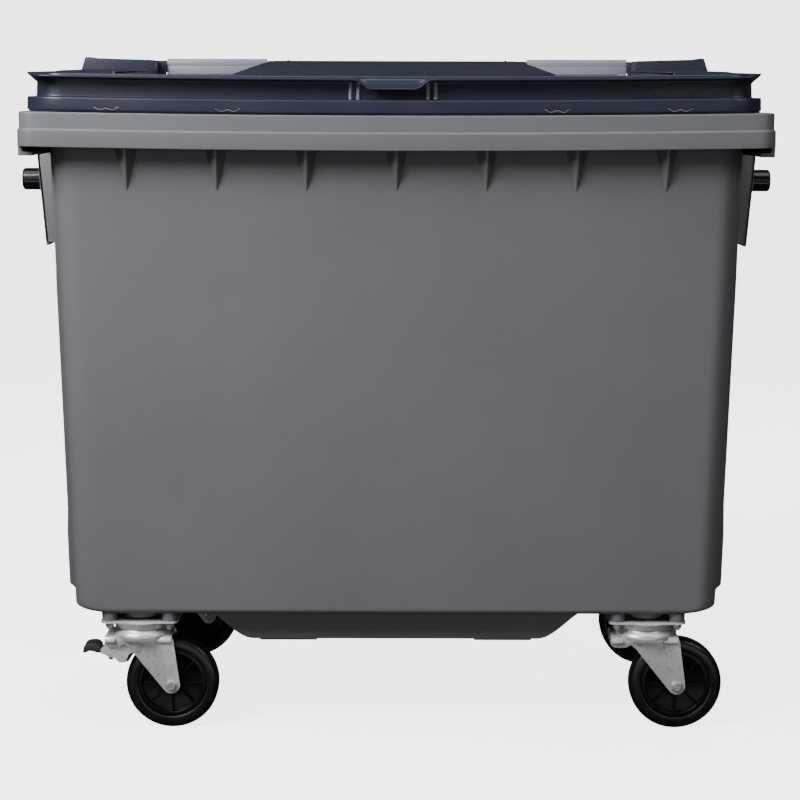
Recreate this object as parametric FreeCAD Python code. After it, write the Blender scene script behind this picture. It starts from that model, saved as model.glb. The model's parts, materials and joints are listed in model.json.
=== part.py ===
import FreeCAD, Part
import math
import os

# Four-wheeled waste container: moulded tub, hinged lid, lifting trunnions and swivel castors.
# Millimetres. X runs to the right, Y to the rear, Z up. The origin is on the floor,
# under the middle of the whole container.

# Rim round the mouth of the tub
RIM_HALF_WIDTH = 632.5
RIM_FRONT = -385.0
RIM_REAR = 345.0
RIM_TOP = 1085.0
RIM_STEP = 1056.0
RIM_UNDERSIDE = 1027.0
RIM_CORNER_RADIUS = 32.0
SIDE_SKIRT_UNDERSIDE = 1011.0
SIDE_LIP_DEPTH = 24.0
SAG = 6.0

# Tub
WALL = 5.0
TUB_CENTRE_Y = 0.5 * (RIM_FRONT + RIM_REAR)
TUB_UNDERSIDE = 215.0
TUB_HALF_WIDTH_LOW = 562.0
TUB_HALF_WIDTH_HIGH = 583.0
TUB_HALF_DEPTH_LOW = 285.0
TUB_HALF_DEPTH_HIGH = 322.0
TUB_CORNER_RADIUS = 38.0
TUB_FOOT_RUN = 50.0
TUB_FOOT_RISE = 15.0
SIDE_PANEL_PROUD = 13.0
SIDE_PANEL_LOW = 250.0
SIDE_PANEL_HALF_DEPTH = 235.0
GUSSET_PITCH = 151.2
GUSSET_TIP = 950.0
GUSSET_BASE_HALF = 27.0
GUSSET_RIDGE_HALF = 1.5

# Belly between the castors
BELLY_UNDERSIDE = 158.0
BELLY_FLAT_HALF = 260.0
BELLY_HALF_WIDTH = 343.0
BELLY_HALF_DEPTH = 232.0
FOOT_INNER_X = 141.0
FOOT_OUTER_X = 245.0
FOOT_FRONT = -190.0
FOOT_REAR = 150.0
FOOT_UNDERSIDE = 139.0
DRAIN_RADIUS = 30.0

# Trunnions and the frames that carry them
FRAME_HALF_DEPTH = 55.0
FRAME_LOW = 846.0
FRAME_HIGH = 1018.0
FRAME_X_LOW = 637.0
FRAME_X_HIGH = 650.0
FRAME_TOOTH = 6.0
TRUNNION_Z = 959.0
TRUNNION_RADIUS = 20.0
TRUNNION_ROOT_RADIUS = 18.0
TRUNNION_END_X = 685.0
TRUNNION_ROOT_X = 600.0
SOCKET_RADIUS = 27.0
SOCKET_END_X = 652.0
TRUNNION_SCREW_X = 622.0

# Lid
LID_WALL = 4.0
LID_GAP = 1.0
SKIRT_HALF_WIDTH = 618.0
SKIRT_FRONT = -372.0
SKIRT_REAR = 338.0
SKIRT_TOP = 1110.0
UPPER_HALF_WIDTH = 602.0
UPPER_FRONT = -345.0
UPPER_REAR = 312.0
FLANGE_HALF_WIDTH = 613.0
FLANGE_TOP = 1145.5
FLANGE_REAR = 330.0
TOP_SLOPE = 0.9
PANEL_HALF_WIDTH = 577.0
PANEL_RISE = 8.0
CROWN_HALF_WIDTH = 249.0
CROWN_SIDE_RUN = 28.0
CROWN_TOP = 1179.0
CROWN_START_Y = -300.0
BLOCK_INNER_X = 467.0
BLOCK_OUTER_X = 608.0
BLOCK_TOP = 1185.0
BLOCK_FRONT = 262.0
BAY_FRONT = 296.0
BAY_CLEARANCE = 0.5
CHANNEL_FRONT = -338.0
CHANNEL_FLOOR = 1145.7
GRIP_HALF_WIDTH_LOW = 38.0
GRIP_HALF_WIDTH_HIGH = 62.0
GRIP_DIP = 20.0
GRIP_RIBS_X = (57.0, 71.0)
GRIP_SHIFT = -6.0

# Lid hinge and rear handles
HINGE_Y = 370.0
HINGE_Z = 1168.0
ROD_RADIUS = 10.0
ROD_INNER_X = 218.0
ROD_OUTER_X = 496.0
HANDLE_RADIUS = 15.0
HANDLE_INNER_X = 259.0
HANDLE_OUTER_X = 457.0
HANDLE_LEG_WIDTH = 18.0
HANDLE_FOOT_LOW = 1032.0
KNUCKLE_RADIUS = 15.0
KNUCKLE_LENGTH = 24.0
RUNNING_CLEARANCE = 0.05

# Castors: a name, the swivel axis and the direction in which the wheel trails at rest
CASTORS = {
    "front_left": (-449.0, -253.0, 0.0),
    "front_right": (442.0, -253.0, 0.0),
    "rear_left": (-435.0, 213.0, 35.0),
    "rear_right": (435.0, 213.0, -35.0),
}
BRAKED_CASTOR = "front_left"
WHEEL_RADIUS = 82.0
WHEEL_WIDTH = 40.0
TYRE_INNER_RADIUS = 61.0
TRAIL = 54.0
HUB_LENGTH = 56.0
HUB_SPOKES = 8
SLEEVE_RADIUS = 9.0
AXLE_RADIUS = 6.0
FORK_GAP = 60.0
FORK_PLATE = 3.5
FORK_NOSE = 62.0
FORK_EYE_RADIUS = 15.5
BRIDGE_PLATE_Z = 168.0
HEAD_PLATE_Z = 177.5
AXLE_REACH = 0.5 * FORK_GAP + FORK_PLATE
PLATE_TOP = 200.0
PLATE_THICKNESS = 4.0
PLATE_LENGTH = 135.0
PLATE_DEPTH = 90.0
BOLT_SPACING_X = 105.0
BOLT_SPACING_Y = 65.0
BOLT_RADIUS = 5.0
BALL_RADIUS = 4.0
BALL_PITCH_RADIUS = 34.0
BALL_COUNT = 20
LOWER_BALL_RADIUS = 2.5
LOWER_BALL_PITCH_RADIUS = 14.0
LOWER_BALL_COUNT = 14
RACE_CLEARANCE = 0.3
UPPER_BALL_Z = HEAD_PLATE_Z + FORK_PLATE + 7.0
LOWER_BALL_Z = HEAD_PLATE_Z - 2.5
KING_PIN_RADIUS = 7.0
BOSS_RADIUS = 13.0

# Brake of the front left castor, measured from its swivel axis
BRAKE_PIVOT_X = -4.0
BRAKE_PIVOT_Z = 148.0
BRAKE_PIN_RADIUS = 3.5
BRAKE_GAP = 3.8

V = FreeCAD.Vector
X_AXIS = V(1, 0, 0)
Y_AXIS = V(0, 1, 0)
Z_AXIS = V(0, 0, 1)


# ---------------------------------------------------------------- basic shapes

def box(x0, x1, y0, y1, z0, z1):
    return Part.makeBox(x1 - x0, y1 - y0, z1 - z0, V(x0, y0, z0))


def rod(radius, start, axis, length):
    return Part.makeCylinder(radius, length, V(*start), axis)


def prism(points, direction):
    """Closed polygon of (x, y, z) points, extruded along a direction."""
    corners = [V(*point) for point in points]
    return Part.Face(Part.makePolygon(corners + corners[:1])).extrude(V(*direction))


def line(start, end):
    return Part.LineSegment(V(*start), V(*end)).toShape()


def polyhedron(faces):
    """Solid bounded by flat faces, each a list of (x, y, z) corners."""
    sides = []
    for face in faces:
        corners = [V(*corner) for corner in face]
        sides.append(Part.Face(Part.makePolygon(corners + corners[:1])))
    return Part.Solid(Part.Shell(sides))


def fuse(shapes):
    return shapes[0].multiFuse(shapes[1:]).removeSplitter()


def mirrored(shape):
    """The same piece on the other side of the container."""
    return shape.mirror(V(0, 0, 0), X_AXIS)


def both_sides(shape):
    return [shape, mirrored(shape)]


def hexagon(across_flats, start, axis, length):
    """Hexagonal head or nut along the Y or Z axis."""
    radius = across_flats / math.sqrt(3)
    points = []
    for step in range(6):
        a = radius * math.cos(step * math.pi / 3)
        b = radius * math.sin(step * math.pi / 3)
        offset = V(a, b, 0) if axis.z else V(a, 0, b)
        points.append(tuple(V(*start) + offset))
    return prism(points, tuple(axis * length))


def rounded_block(half_width, y_front, y_rear, radius, z0, z1):
    """Block with rounded upright edges, symmetric about the YZ plane."""
    block = box(-half_width, half_width, y_front, y_rear, z0, z1)
    upright = [edge for edge in block.Edges if edge.BoundBox.ZLength > 0.5 * (z1 - z0)]
    return block.makeFillet(radius, upright)


def sagging_slab(z0, z1):
    """Layer whose faces dip by SAG in the middle; z0 and z1 hold at the ends of the rim."""
    reach = RIM_HALF_WIDTH + 70
    rise = SAG * ((reach / RIM_HALF_WIDTH) ** 2 - 1)
    corners = {}
    for name, z in (("low", z0), ("top", z1)):
        corners[name] = V(-reach, -600, z + rise), V(0, -600, z - SAG), V(reach, -600, z + rise)
    low_left, low_middle, low_right = corners["low"]
    top_left, top_middle, top_right = corners["top"]
    edges = [
        Part.Arc(low_left, low_middle, low_right).toShape(),
        Part.LineSegment(low_right, top_right).toShape(),
        Part.Arc(top_right, top_middle, top_left).toShape(),
        Part.LineSegment(top_left, low_left).toShape(),
    ]
    return Part.Face(Part.Wire(edges)).extrude(V(0, 1200, 0))


def sagging_block(half_width, y_front, y_rear, radius, z0, z1):
    """Rounded block whose top and bottom follow the sag of the rim."""
    block = rounded_block(half_width, y_front, y_rear, radius, z0 - 2 * SAG, z1 + SAG)
    return block.common(sagging_slab(z0, z1))


# ---------------------------------------------------------------- tub

def rounded_outline(half_width, half_depth, radius, z):
    """Wire of a rectangle with round corners, centred on the tub."""
    x, y, r = half_width, half_depth, radius
    diagonal = r * (1 - math.sqrt(0.5))
    corners = ((x, -y, 1, -1), (x, y, 1, 1), (-x, y, -1, 1), (-x, -y, -1, -1))
    edges = []
    last_end = None
    for cx, cy, sx, sy in corners:
        on_side = V(cx, cy - sy * r, z)
        on_end = V(cx - sx * r, cy, z)
        middle = V(cx - sx * diagonal, cy - sy * diagonal, z)
        start, end = (on_end, on_side) if sx * sy < 0 else (on_side, on_end)
        if last_end:
            edges.append(Part.LineSegment(last_end, start).toShape())
        else:
            first_start = start
        edges.append(Part.Arc(start, middle, end).toShape())
        last_end = end
    edges.append(Part.LineSegment(last_end, first_start).toShape())
    wire = Part.Wire(edges)
    wire.translate(V(0, TUB_CENTRE_Y, 0))
    return wire


def slope_at(z, low, high):
    """Straight taper of the tub between its underside and the top of the rim."""
    return low + (high - low) * (z - TUB_UNDERSIDE) / (RIM_TOP - TUB_UNDERSIDE)


def front_view(inset):
    """Front outline of the tub, with its broad elliptical lower corners, swept front to rear."""
    z_low = TUB_UNDERSIDE + inset
    z_high = RIM_TOP + (20 if inset else 0)
    z_shoulder = z_low + TUB_FOOT_RISE
    x_shoulder = slope_at(z_shoulder, TUB_HALF_WIDTH_LOW, TUB_HALF_WIDTH_HIGH) - inset
    x_high = slope_at(z_high, TUB_HALF_WIDTH_LOW, TUB_HALF_WIDTH_HIGH) - inset
    x_foot = x_shoulder - TUB_FOOT_RUN
    right_foot = Part.Ellipse(V(x_foot, 0, z_shoulder), TUB_FOOT_RUN, TUB_FOOT_RISE)
    right_foot.Axis = V(0, -1, 0)
    arc = Part.ArcOfEllipse(right_foot, -math.pi / 2, 0).toShape()
    left_arc = arc.mirror(V(0, 0, 0), X_AXIS)
    edges = [
        left_arc,
        line((-x_foot, 0, z_low), (x_foot, 0, z_low)),
        arc,
        line((x_shoulder, 0, z_shoulder), (x_high, 0, z_high)),
        line((x_high, 0, z_high), (-x_high, 0, z_high)),
        line((-x_high, 0, z_high), (-x_shoulder, 0, z_shoulder)),
    ]
    outline = Part.Face(Part.Wire(Part.__sortEdges__(edges)))
    outline.translate(V(0, -600, 0))
    return outline.extrude(V(0, 1200, 0))


def tub_form(inset):
    """Outer form of the tub (inset 0), or its hollow when moved inwards by the wall."""
    z_low = TUB_UNDERSIDE + inset - 1
    z_high = RIM_TOP + (20 if inset else 0)
    wires = []
    for z in (z_low, z_high):
        wires.append(rounded_outline(
            slope_at(z, TUB_HALF_WIDTH_LOW, TUB_HALF_WIDTH_HIGH) - inset,
            slope_at(z, TUB_HALF_DEPTH_LOW, TUB_HALF_DEPTH_HIGH) - inset,
            TUB_CORNER_RADIUS - inset, z))
    return Part.makeLoft(wires, True, True).common(front_view(inset))


def belly_form(inset):
    """Deeper middle of the floor, with S-shaped flanks, swept front to rear."""
    z_low = BELLY_UNDERSIDE + inset
    z_high = TUB_UNDERSIDE + inset + 2
    half_flat = BELLY_FLAT_HALF - inset
    half_top = BELLY_HALF_WIDTH - inset
    right = Part.BSplineCurve()
    right.interpolate([
        V(half_flat, 0, z_low),
        V(half_flat + 28, 0, z_low + 7),
        V(0.5 * (half_flat + half_top) + 12, 0, 0.5 * (z_low + z_high)),
        V(half_top, 0, z_high),
    ])
    flank = right.toShape()
    edges = [
        flank,
        flank.mirror(V(0, 0, 0), X_AXIS),
        line((-half_flat, 0, z_low), (half_flat, 0, z_low)),
        line((-half_top, 0, z_high), (half_top, 0, z_high)),
    ]
    outline = Part.Face(Part.Wire(Part.__sortEdges__(edges)))
    half_depth = BELLY_HALF_DEPTH - inset
    outline.translate(V(0, TUB_CENTRE_Y - half_depth, 0))
    return outline.extrude(V(0, 2 * half_depth, 0))


def rim_form():
    """Deep rolled rim: two stepped bands outside, hollow underneath."""
    lower = sagging_block(RIM_HALF_WIDTH, RIM_FRONT, RIM_REAR, RIM_CORNER_RADIUS,
                          RIM_UNDERSIDE, RIM_STEP)
    step = 3.0
    upper = sagging_block(RIM_HALF_WIDTH - step, RIM_FRONT + step, RIM_REAR - step,
                          RIM_CORNER_RADIUS - step, RIM_STEP - 1, RIM_TOP)
    skirt = step + WALL
    hollow = sagging_block(RIM_HALF_WIDTH - skirt, RIM_FRONT + skirt, RIM_REAR - skirt,
                           RIM_CORNER_RADIUS - skirt, RIM_UNDERSIDE - 5, RIM_TOP - WALL)
    return lower.fuse(upper).cut(hollow)


def side_skirt():
    """Deeper part of the right rim, turned inwards at its lower edge as a lifting lip."""
    outer = RIM_HALF_WIDTH
    inner = outer - 8
    front = RIM_FRONT + RIM_CORNER_RADIUS
    rear = RIM_REAR - RIM_CORNER_RADIUS
    skirt = box(inner, outer, front, rear, SIDE_SKIRT_UNDERSIDE, RIM_UNDERSIDE + 4)
    lip = box(outer - SIDE_LIP_DEPTH, outer, front, rear,
              SIDE_SKIRT_UNDERSIDE, SIDE_SKIRT_UNDERSIDE + 7)
    return skirt.fuse(lip)


def side_panel():
    """Slightly raised field of the right side wall."""
    z_low, z_high = SIDE_PANEL_LOW, RIM_UNDERSIDE + 20
    x_low = slope_at(z_low, TUB_HALF_WIDTH_LOW, TUB_HALF_WIDTH_HIGH)
    x_high = slope_at(z_high, TUB_HALF_WIDTH_LOW, TUB_HALF_WIDTH_HIGH)
    front, depth = TUB_CENTRE_Y - SIDE_PANEL_HALF_DEPTH, 2 * SIDE_PANEL_HALF_DEPTH
    return prism([
        (x_low - 3, front, z_low),
        (x_low + SIDE_PANEL_PROUD, front, z_low + 4),
        (x_high + SIDE_PANEL_PROUD, front, z_high),
        (x_high - 3, front, z_high),
    ], (0, depth, 0))


def gusset(x, side):
    """Tapering stiffener between the tub wall and the front or rear rim, with a narrow ridge."""
    z_high = RIM_UNDERSIDE + 20
    foot_y = TUB_CENTRE_Y + side * (slope_at(GUSSET_TIP, TUB_HALF_DEPTH_LOW, TUB_HALF_DEPTH_HIGH) - 2)
    wall_y = TUB_CENTRE_Y + side * (slope_at(z_high, TUB_HALF_DEPTH_LOW, TUB_HALF_DEPTH_HIGH) - 2)
    rim_y = TUB_CENTRE_Y + side * (0.5 * (RIM_REAR - RIM_FRONT) - 5)
    base_left, base_right = [(x + s * GUSSET_BASE_HALF, wall_y, z_high) for s in (-1, 1)]
    ridge_left, ridge_right = [(x + s * GUSSET_RIDGE_HALF, rim_y, z_high) for s in (-1, 1)]
    foot_left, foot_right = [(x + s * GUSSET_RIDGE_HALF, foot_y, GUSSET_TIP) for s in (-1, 1)]
    return polyhedron([
        [base_left, base_right, ridge_right, ridge_left],
        [base_left, base_right, foot_right, foot_left],
        [ridge_left, ridge_right, foot_right, foot_left],
        [base_left, ridge_left, foot_left],
        [base_right, ridge_right, foot_right],
    ])


def trunnion_frame():
    """Open-bottomed box on the right side wall that stiffens the trunnion socket."""
    root_x = TUB_HALF_WIDTH_HIGH - 4
    half = FRAME_HALF_DEPTH
    outer = prism([
        (root_x, -half, FRAME_LOW), (FRAME_X_LOW, -half, FRAME_LOW),
        (FRAME_X_HIGH, -half, FRAME_HIGH - 18), (FRAME_X_HIGH, -half, FRAME_HIGH),
        (root_x, -half, FRAME_HIGH),
    ], (0, 2 * half, 0))
    pocket_depth = half - WALL
    pocket = prism([
        (root_x - 1, -pocket_depth, FRAME_LOW - 1), (FRAME_X_LOW - WALL, -pocket_depth, FRAME_LOW - 1),
        (FRAME_X_HIGH - WALL, -pocket_depth, FRAME_HIGH - 18),
        (FRAME_X_HIGH - WALL, -pocket_depth, FRAME_HIGH - WALL),
        (root_x - 1, -pocket_depth, FRAME_HIGH - WALL),
    ], (0, 2 * pocket_depth, 0))
    tooth = box(FRAME_X_LOW - 4, FRAME_X_LOW, -half, half, FRAME_LOW - FRAME_TOOTH, FRAME_LOW + 2)
    top_flange = box(RIM_HALF_WIDTH - 20, FRAME_X_HIGH, -half, half,
                     FRAME_HIGH - WALL, FRAME_HIGH)
    socket = rod(SOCKET_RADIUS, (root_x, 0, TRUNNION_Z), X_AXIS, SOCKET_END_X - root_x)
    return fuse([outer.cut(pocket), tooth, top_flange, socket])


def trunnion_holes():
    """Bore of the right trunnion socket and the hole of its cross screw."""
    bore = rod(TRUNNION_ROOT_RADIUS + 0.02, (TRUNNION_ROOT_X, 0, TRUNNION_Z), X_AXIS, 100)
    screw = rod(4.1, (TRUNNION_SCREW_X, 0, TRUNNION_Z - 40), Z_AXIS, 60)
    return bore.fuse(screw)


def castor_bolt_points(castor):
    x, y, _ = CASTORS[castor]
    for dx in (-0.5 * BOLT_SPACING_X, 0.5 * BOLT_SPACING_X):
        for dy in (-0.5 * BOLT_SPACING_Y, 0.5 * BOLT_SPACING_Y):
            yield x + dx, y + dy


def castor_boss(castor):
    """Four bolt pillars between the floor and a castor plate, joined in pairs by webs."""
    y = CASTORS[castor][1]
    top = TUB_UNDERSIDE + 3
    points = list(castor_bolt_points(castor))
    pieces = [rod(BOSS_RADIUS, (bolt_x, bolt_y, PLATE_TOP), Z_AXIS, top - PLATE_TOP)
              for bolt_x, bolt_y in points]
    for rib_x in sorted({bolt_x for bolt_x, _ in points}):
        pieces.append(box(rib_x - 3, rib_x + 3, y - 0.5 * BOLT_SPACING_Y, y + 0.5 * BOLT_SPACING_Y,
                          PLATE_TOP, top))
    return pieces


def handle_screw_points():
    """Screws that hold each leg of the right rear handle to the back of the rim."""
    for x in (HANDLE_INNER_X + 0.5 * HANDLE_LEG_WIDTH, HANDLE_OUTER_X - 0.5 * HANDLE_LEG_WIDTH):
        for z in (HANDLE_FOOT_LOW + 11, RIM_TOP - 16):
            yield x, z


def body_shell():
    outer = [tub_form(0), belly_form(0), rim_form()]
    outer += both_sides(side_skirt()) + both_sides(side_panel()) + both_sides(trunnion_frame())
    for index in range(-3, 4):
        outer += [gusset(index * GUSSET_PITCH, -1), gusset(index * GUSSET_PITCH, 1)]
    for castor in CASTORS:
        outer += castor_boss(castor)
    outer += both_sides(box(FOOT_INNER_X, FOOT_OUTER_X, FOOT_FRONT, FOOT_REAR,
                            FOOT_UNDERSIDE, BELLY_UNDERSIDE + 1))
    body = fuse(outer)
    body = body.cut(fuse([tub_form(WALL), belly_form(WALL)]))
    holes = both_sides(trunnion_holes())
    holes.append(rod(DRAIN_RADIUS, (0, TUB_CENTRE_Y, BELLY_UNDERSIDE - 10), Z_AXIS, 30))
    for castor in CASTORS:
        for x, y in castor_bolt_points(castor):
            holes.append(rod(BOLT_RADIUS + 0.2, (x, y, PLATE_TOP - 5), Z_AXIS, 40))
    for x, z in handle_screw_points():
        for side in (-1, 1):
            holes.append(rod(3.1, (side * x, RIM_REAR - 30, z), Y_AXIS, 40))
    return body.cut(holes)


def drain_plug():
    flange = rod(DRAIN_RADIUS + 8, (0, TUB_CENTRE_Y, BELLY_UNDERSIDE - 8), Z_AXIS, 6)
    stem = rod(DRAIN_RADIUS - 0.5, (0, TUB_CENTRE_Y, BELLY_UNDERSIDE - 4), Z_AXIS, 12)
    bar = box(-22, 22, TUB_CENTRE_Y - 4, TUB_CENTRE_Y + 4, BELLY_UNDERSIDE - 16, BELLY_UNDERSIDE - 6)
    return fuse([flange, stem, bar])


def drain_seal():
    ring = rod(DRAIN_RADIUS + 7, (0, TUB_CENTRE_Y, BELLY_UNDERSIDE - 2), Z_AXIS, 2)
    return ring.cut(rod(DRAIN_RADIUS + 1, (0, TUB_CENTRE_Y, BELLY_UNDERSIDE - 3), Z_AXIS, 4))


# ---------------------------------------------------------------- trunnions

def trunnion():
    """Right trunnion: a slimmer root in the socket and a full-size pin outside it."""
    root = rod(TRUNNION_ROOT_RADIUS, (TRUNNION_ROOT_X + 1, 0, TRUNNION_Z), X_AXIS,
               SOCKET_END_X - TRUNNION_ROOT_X)
    pin = rod(TRUNNION_RADIUS, (SOCKET_END_X, 0, TRUNNION_Z), X_AXIS, TRUNNION_END_X - SOCKET_END_X)
    outer_edge = [edge for edge in pin.Edges
                  if edge.BoundBox.XMin > TRUNNION_END_X - 1 and edge.BoundBox.XLength < 1]
    pin = pin.makeChamfer(3, outer_edge).fuse(root)
    return pin.cut(rod(4.1, (TRUNNION_SCREW_X, 0, TRUNNION_Z - 30), Z_AXIS, 44))


def trunnion_screw():
    shank = rod(4, (TRUNNION_SCREW_X, 0, TRUNNION_Z - SOCKET_RADIUS), Z_AXIS, 2 * SOCKET_RADIUS - 14)
    head = hexagon(13, (TRUNNION_SCREW_X, 0, TRUNNION_Z - SOCKET_RADIUS - 6), Z_AXIS, 6)
    return shank.fuse(head)


# ---------------------------------------------------------------- lid

def sloped(shape):
    """Tilt a shape about the front top edge of the lid, so that it rises to the rear."""
    shape = shape.copy()
    shape.rotate(V(0, SKIRT_FRONT, FLANGE_TOP), X_AXIS, TOP_SLOPE)
    return shape


def crown(inset):
    """Raised middle of the lid that runs up to the hinge."""
    y_rear = HINGE_Y - 22 - inset
    z_base = FLANGE_TOP - 12
    half_top = CROWN_HALF_WIDTH - inset
    half_low = half_top + CROWN_SIDE_RUN
    wedge = prism([
        (-half_low, CROWN_START_Y, z_base), (-half_low, y_rear, z_base),
        (-half_low, y_rear, CROWN_TOP - inset), (-half_low, y_rear - 60, CROWN_TOP - inset),
        (-half_low, CROWN_START_Y, FLANGE_TOP + 4 - inset),
    ], (2 * half_low, 0, 0))
    section = prism([
        (-half_low, -500, z_base - 1), (half_low, -500, z_base - 1), (half_low, -500, FLANGE_TOP + 4),
        (half_top, -500, CROWN_TOP + 1), (-half_top, -500, CROWN_TOP + 1),
        (-half_low, -500, FLANGE_TOP + 4),
    ], (0, 1000, 0))
    return wedge.common(section)


def corner_block(inset):
    """Raised block at the right rear corner, beside the hinge knuckle."""
    y_front, y_rear = BLOCK_FRONT + inset, HINGE_Y - 22 - inset
    z_base = FLANGE_TOP - 12
    return prism([
        (BLOCK_INNER_X + inset, y_front, z_base),
        (BLOCK_OUTER_X - inset, y_front, z_base),
        (BLOCK_OUTER_X - inset - 10, y_front, BLOCK_TOP - inset),
        (BLOCK_INNER_X + inset, y_front, BLOCK_TOP - 7 - inset),
    ], (0, y_rear - y_front, 0))


def knuckle(x):
    """Hinge eye of the lid, with an arm that joins it to the block in front."""
    eye = rod(KNUCKLE_RADIUS, (x, HINGE_Y, HINGE_Z), X_AXIS, KNUCKLE_LENGTH)
    arm = prism([
        (x, HINGE_Y - 26, HINGE_Z - 20), (x, HINGE_Y, HINGE_Z - KNUCKLE_RADIUS),
        (x, HINGE_Y, HINGE_Z + 10), (x, HINGE_Y - 26, HINGE_Z + 8),
    ], (KNUCKLE_LENGTH, 0, 0))
    return eye.fuse(arm)


def grip_outline(y, top, drop):
    """Trapezoid of the front grip, seen from the front."""
    return [
        (GRIP_SHIFT - GRIP_HALF_WIDTH_HIGH, y, top), (GRIP_SHIFT + GRIP_HALF_WIDTH_HIGH, y, top),
        (GRIP_SHIFT + GRIP_HALF_WIDTH_LOW, y, top - drop), (GRIP_SHIFT - GRIP_HALF_WIDTH_LOW, y, top - drop),
    ]


def front_grip():
    """Dip in the front flange: the outer plate of the grip, and the space cut above it."""
    top = FLANGE_TOP - SAG
    depth = UPPER_FRONT + 3 - SKIRT_FRONT
    plate = prism(grip_outline(SKIRT_FRONT, top, GRIP_DIP), (0, depth, 0))
    space = prism([(x, y, z + 4.5) for x, y, z in grip_outline(SKIRT_FRONT - 2, top, GRIP_DIP)],
                  (0, depth - 2, 0))
    return plate, space


def handle_bay():
    """Space cut out of the right rear of the lid, where a handle stands."""
    return box(CROWN_HALF_WIDTH + 1, BLOCK_INNER_X - BAY_CLEARANCE, BAY_FRONT, BAY_FRONT + 120,
               RIM_TOP, FLANGE_TOP + 60)


def bay_wall():
    """Block that closes the lid round the right handle bay."""
    return box(CROWN_HALF_WIDTH - 3, BLOCK_INNER_X + 3.5, BAY_FRONT - LID_WALL, UPPER_REAR,
               RIM_TOP + 3, FLANGE_TOP + 6)


def channel(inset):
    """Low field of the lid's top in front of the right handle, or its underside (inset > 0)."""
    field = box(CROWN_HALF_WIDTH + CROWN_SIDE_RUN - inset, BLOCK_INNER_X - BAY_CLEARANCE + inset,
                CHANNEL_FRONT - inset, BAY_FRONT + 120, FLANGE_TOP - 60, FLANGE_TOP + 60)
    return field.common(sagging_slab(CHANNEL_FLOOR - inset, FLANGE_TOP + 90))


def lid_outside():
    skirt = sagging_block(SKIRT_HALF_WIDTH, SKIRT_FRONT, SKIRT_REAR, 40, RIM_TOP + LID_GAP, SKIRT_TOP)
    upper = sagging_block(UPPER_HALF_WIDTH, UPPER_FRONT, UPPER_REAR, 45, SKIRT_TOP - 1, FLANGE_TOP + 30)
    upper = upper.cut(sloped(sagging_slab(FLANGE_TOP - 2, FLANGE_TOP + 90)))
    flange = sloped(sagging_block(FLANGE_HALF_WIDTH, SKIRT_FRONT, FLANGE_REAR, 42,
                                  FLANGE_TOP - 4.5, FLANGE_TOP))
    panel = sloped(sagging_block(PANEL_HALF_WIDTH, SKIRT_FRONT + 34, FLANGE_REAR - 12, 45,
                                 FLANGE_TOP - 1, FLANGE_TOP + PANEL_RISE))
    return fuse([skirt, upper, flange, panel, crown(0)] + both_sides(corner_block(0)))


def lid_inside():
    wall = LID_WALL
    base = RIM_TOP + LID_GAP
    top = sagging_block(UPPER_HALF_WIDTH - wall, UPPER_FRONT + wall, UPPER_REAR - wall, 41,
                        base, FLANGE_TOP + 30)
    top = top.cut(sloped(sagging_slab(FLANGE_TOP + PANEL_RISE - wall, FLANGE_TOP + 90)))
    skirt = sagging_block(SKIRT_HALF_WIDTH - wall, SKIRT_FRONT + wall, SKIRT_REAR - wall, 36,
                          base - 5, SKIRT_TOP - wall)
    hollow = fuse([skirt, top, crown(wall)] + both_sides(corner_block(wall)))
    return hollow.cut(both_sides(channel(wall)))


def lid():
    shell = lid_outside().cut(lid_inside())
    shell = fuse([shell] + both_sides(bay_wall()))
    shell = shell.cut(both_sides(handle_bay()) + both_sides(channel(0)))
    plate, space = front_grip()
    shell = shell.fuse(plate).cut(space)
    ribs = [rod(2.5, (GRIP_SHIFT + side * x, UPPER_FRONT, SKIRT_TOP - SAG - 2), Z_AXIS, 30)
            for side in (-1, 1) for x in GRIP_RIBS_X]
    knuckles = both_sides(knuckle(CROWN_HALF_WIDTH - KNUCKLE_LENGTH))
    knuckles += both_sides(knuckle(BLOCK_INNER_X))
    shell = fuse([shell] + ribs + knuckles)
    bore = rod(ROD_RADIUS + RUNNING_CLEARANCE, (ROD_INNER_X - 8, HINGE_Y, HINGE_Z), X_AXIS,
               ROD_OUTER_X - ROD_INNER_X + 16)
    return shell.cut(both_sides(bore))


# ---------------------------------------------------------------- rear handles and hinge rods

def rear_handle():
    """Right handle: a grip tube round the hinge rod, on two legs fixed to the back of the rim."""
    grip = rod(HANDLE_RADIUS, (HANDLE_INNER_X, HINGE_Y, HINGE_Z), X_AXIS,
               HANDLE_OUTER_X - HANDLE_INNER_X)
    back = RIM_REAR
    pieces = [grip]
    for x in (HANDLE_INNER_X, HANDLE_OUTER_X - HANDLE_LEG_WIDTH):
        pieces.append(prism([
            (x, back, HANDLE_FOOT_LOW), (x, back + 12, HANDLE_FOOT_LOW),
            (x, back + 14, RIM_TOP), (x, HINGE_Y + 13, HINGE_Z - 6),
            (x, HINGE_Y - 12, HINGE_Z + 7), (x, back, RIM_TOP + 6),
        ], (HANDLE_LEG_WIDTH, 0, 0)))
    handle = fuse(pieces)
    holes = [rod(ROD_RADIUS, (HANDLE_INNER_X - 5, HINGE_Y, HINGE_Z), X_AXIS,
                 HANDLE_OUTER_X - HANDLE_INNER_X + 10)]
    holes += [rod(3.1, (x, back - 5, z), Y_AXIS, 40) for x, z in handle_screw_points()]
    return handle.cut(holes)


def hinge_rod():
    shaft = rod(ROD_RADIUS, (ROD_INNER_X, HINGE_Y, HINGE_Z), X_AXIS, ROD_OUTER_X - ROD_INNER_X)
    return shaft.makeChamfer(1.0, [edge for edge in shaft.Edges if edge.BoundBox.XLength < 1])


def hinge_rod_caps():
    """Push-on caps that keep both rods in place."""
    thickness = 3.0
    caps = []
    for x in (ROD_INNER_X - thickness, ROD_OUTER_X):
        caps += both_sides(rod(ROD_RADIUS + 4, (x, HINGE_Y, HINGE_Z), X_AXIS, thickness))
    return Part.makeCompound(caps)


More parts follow.
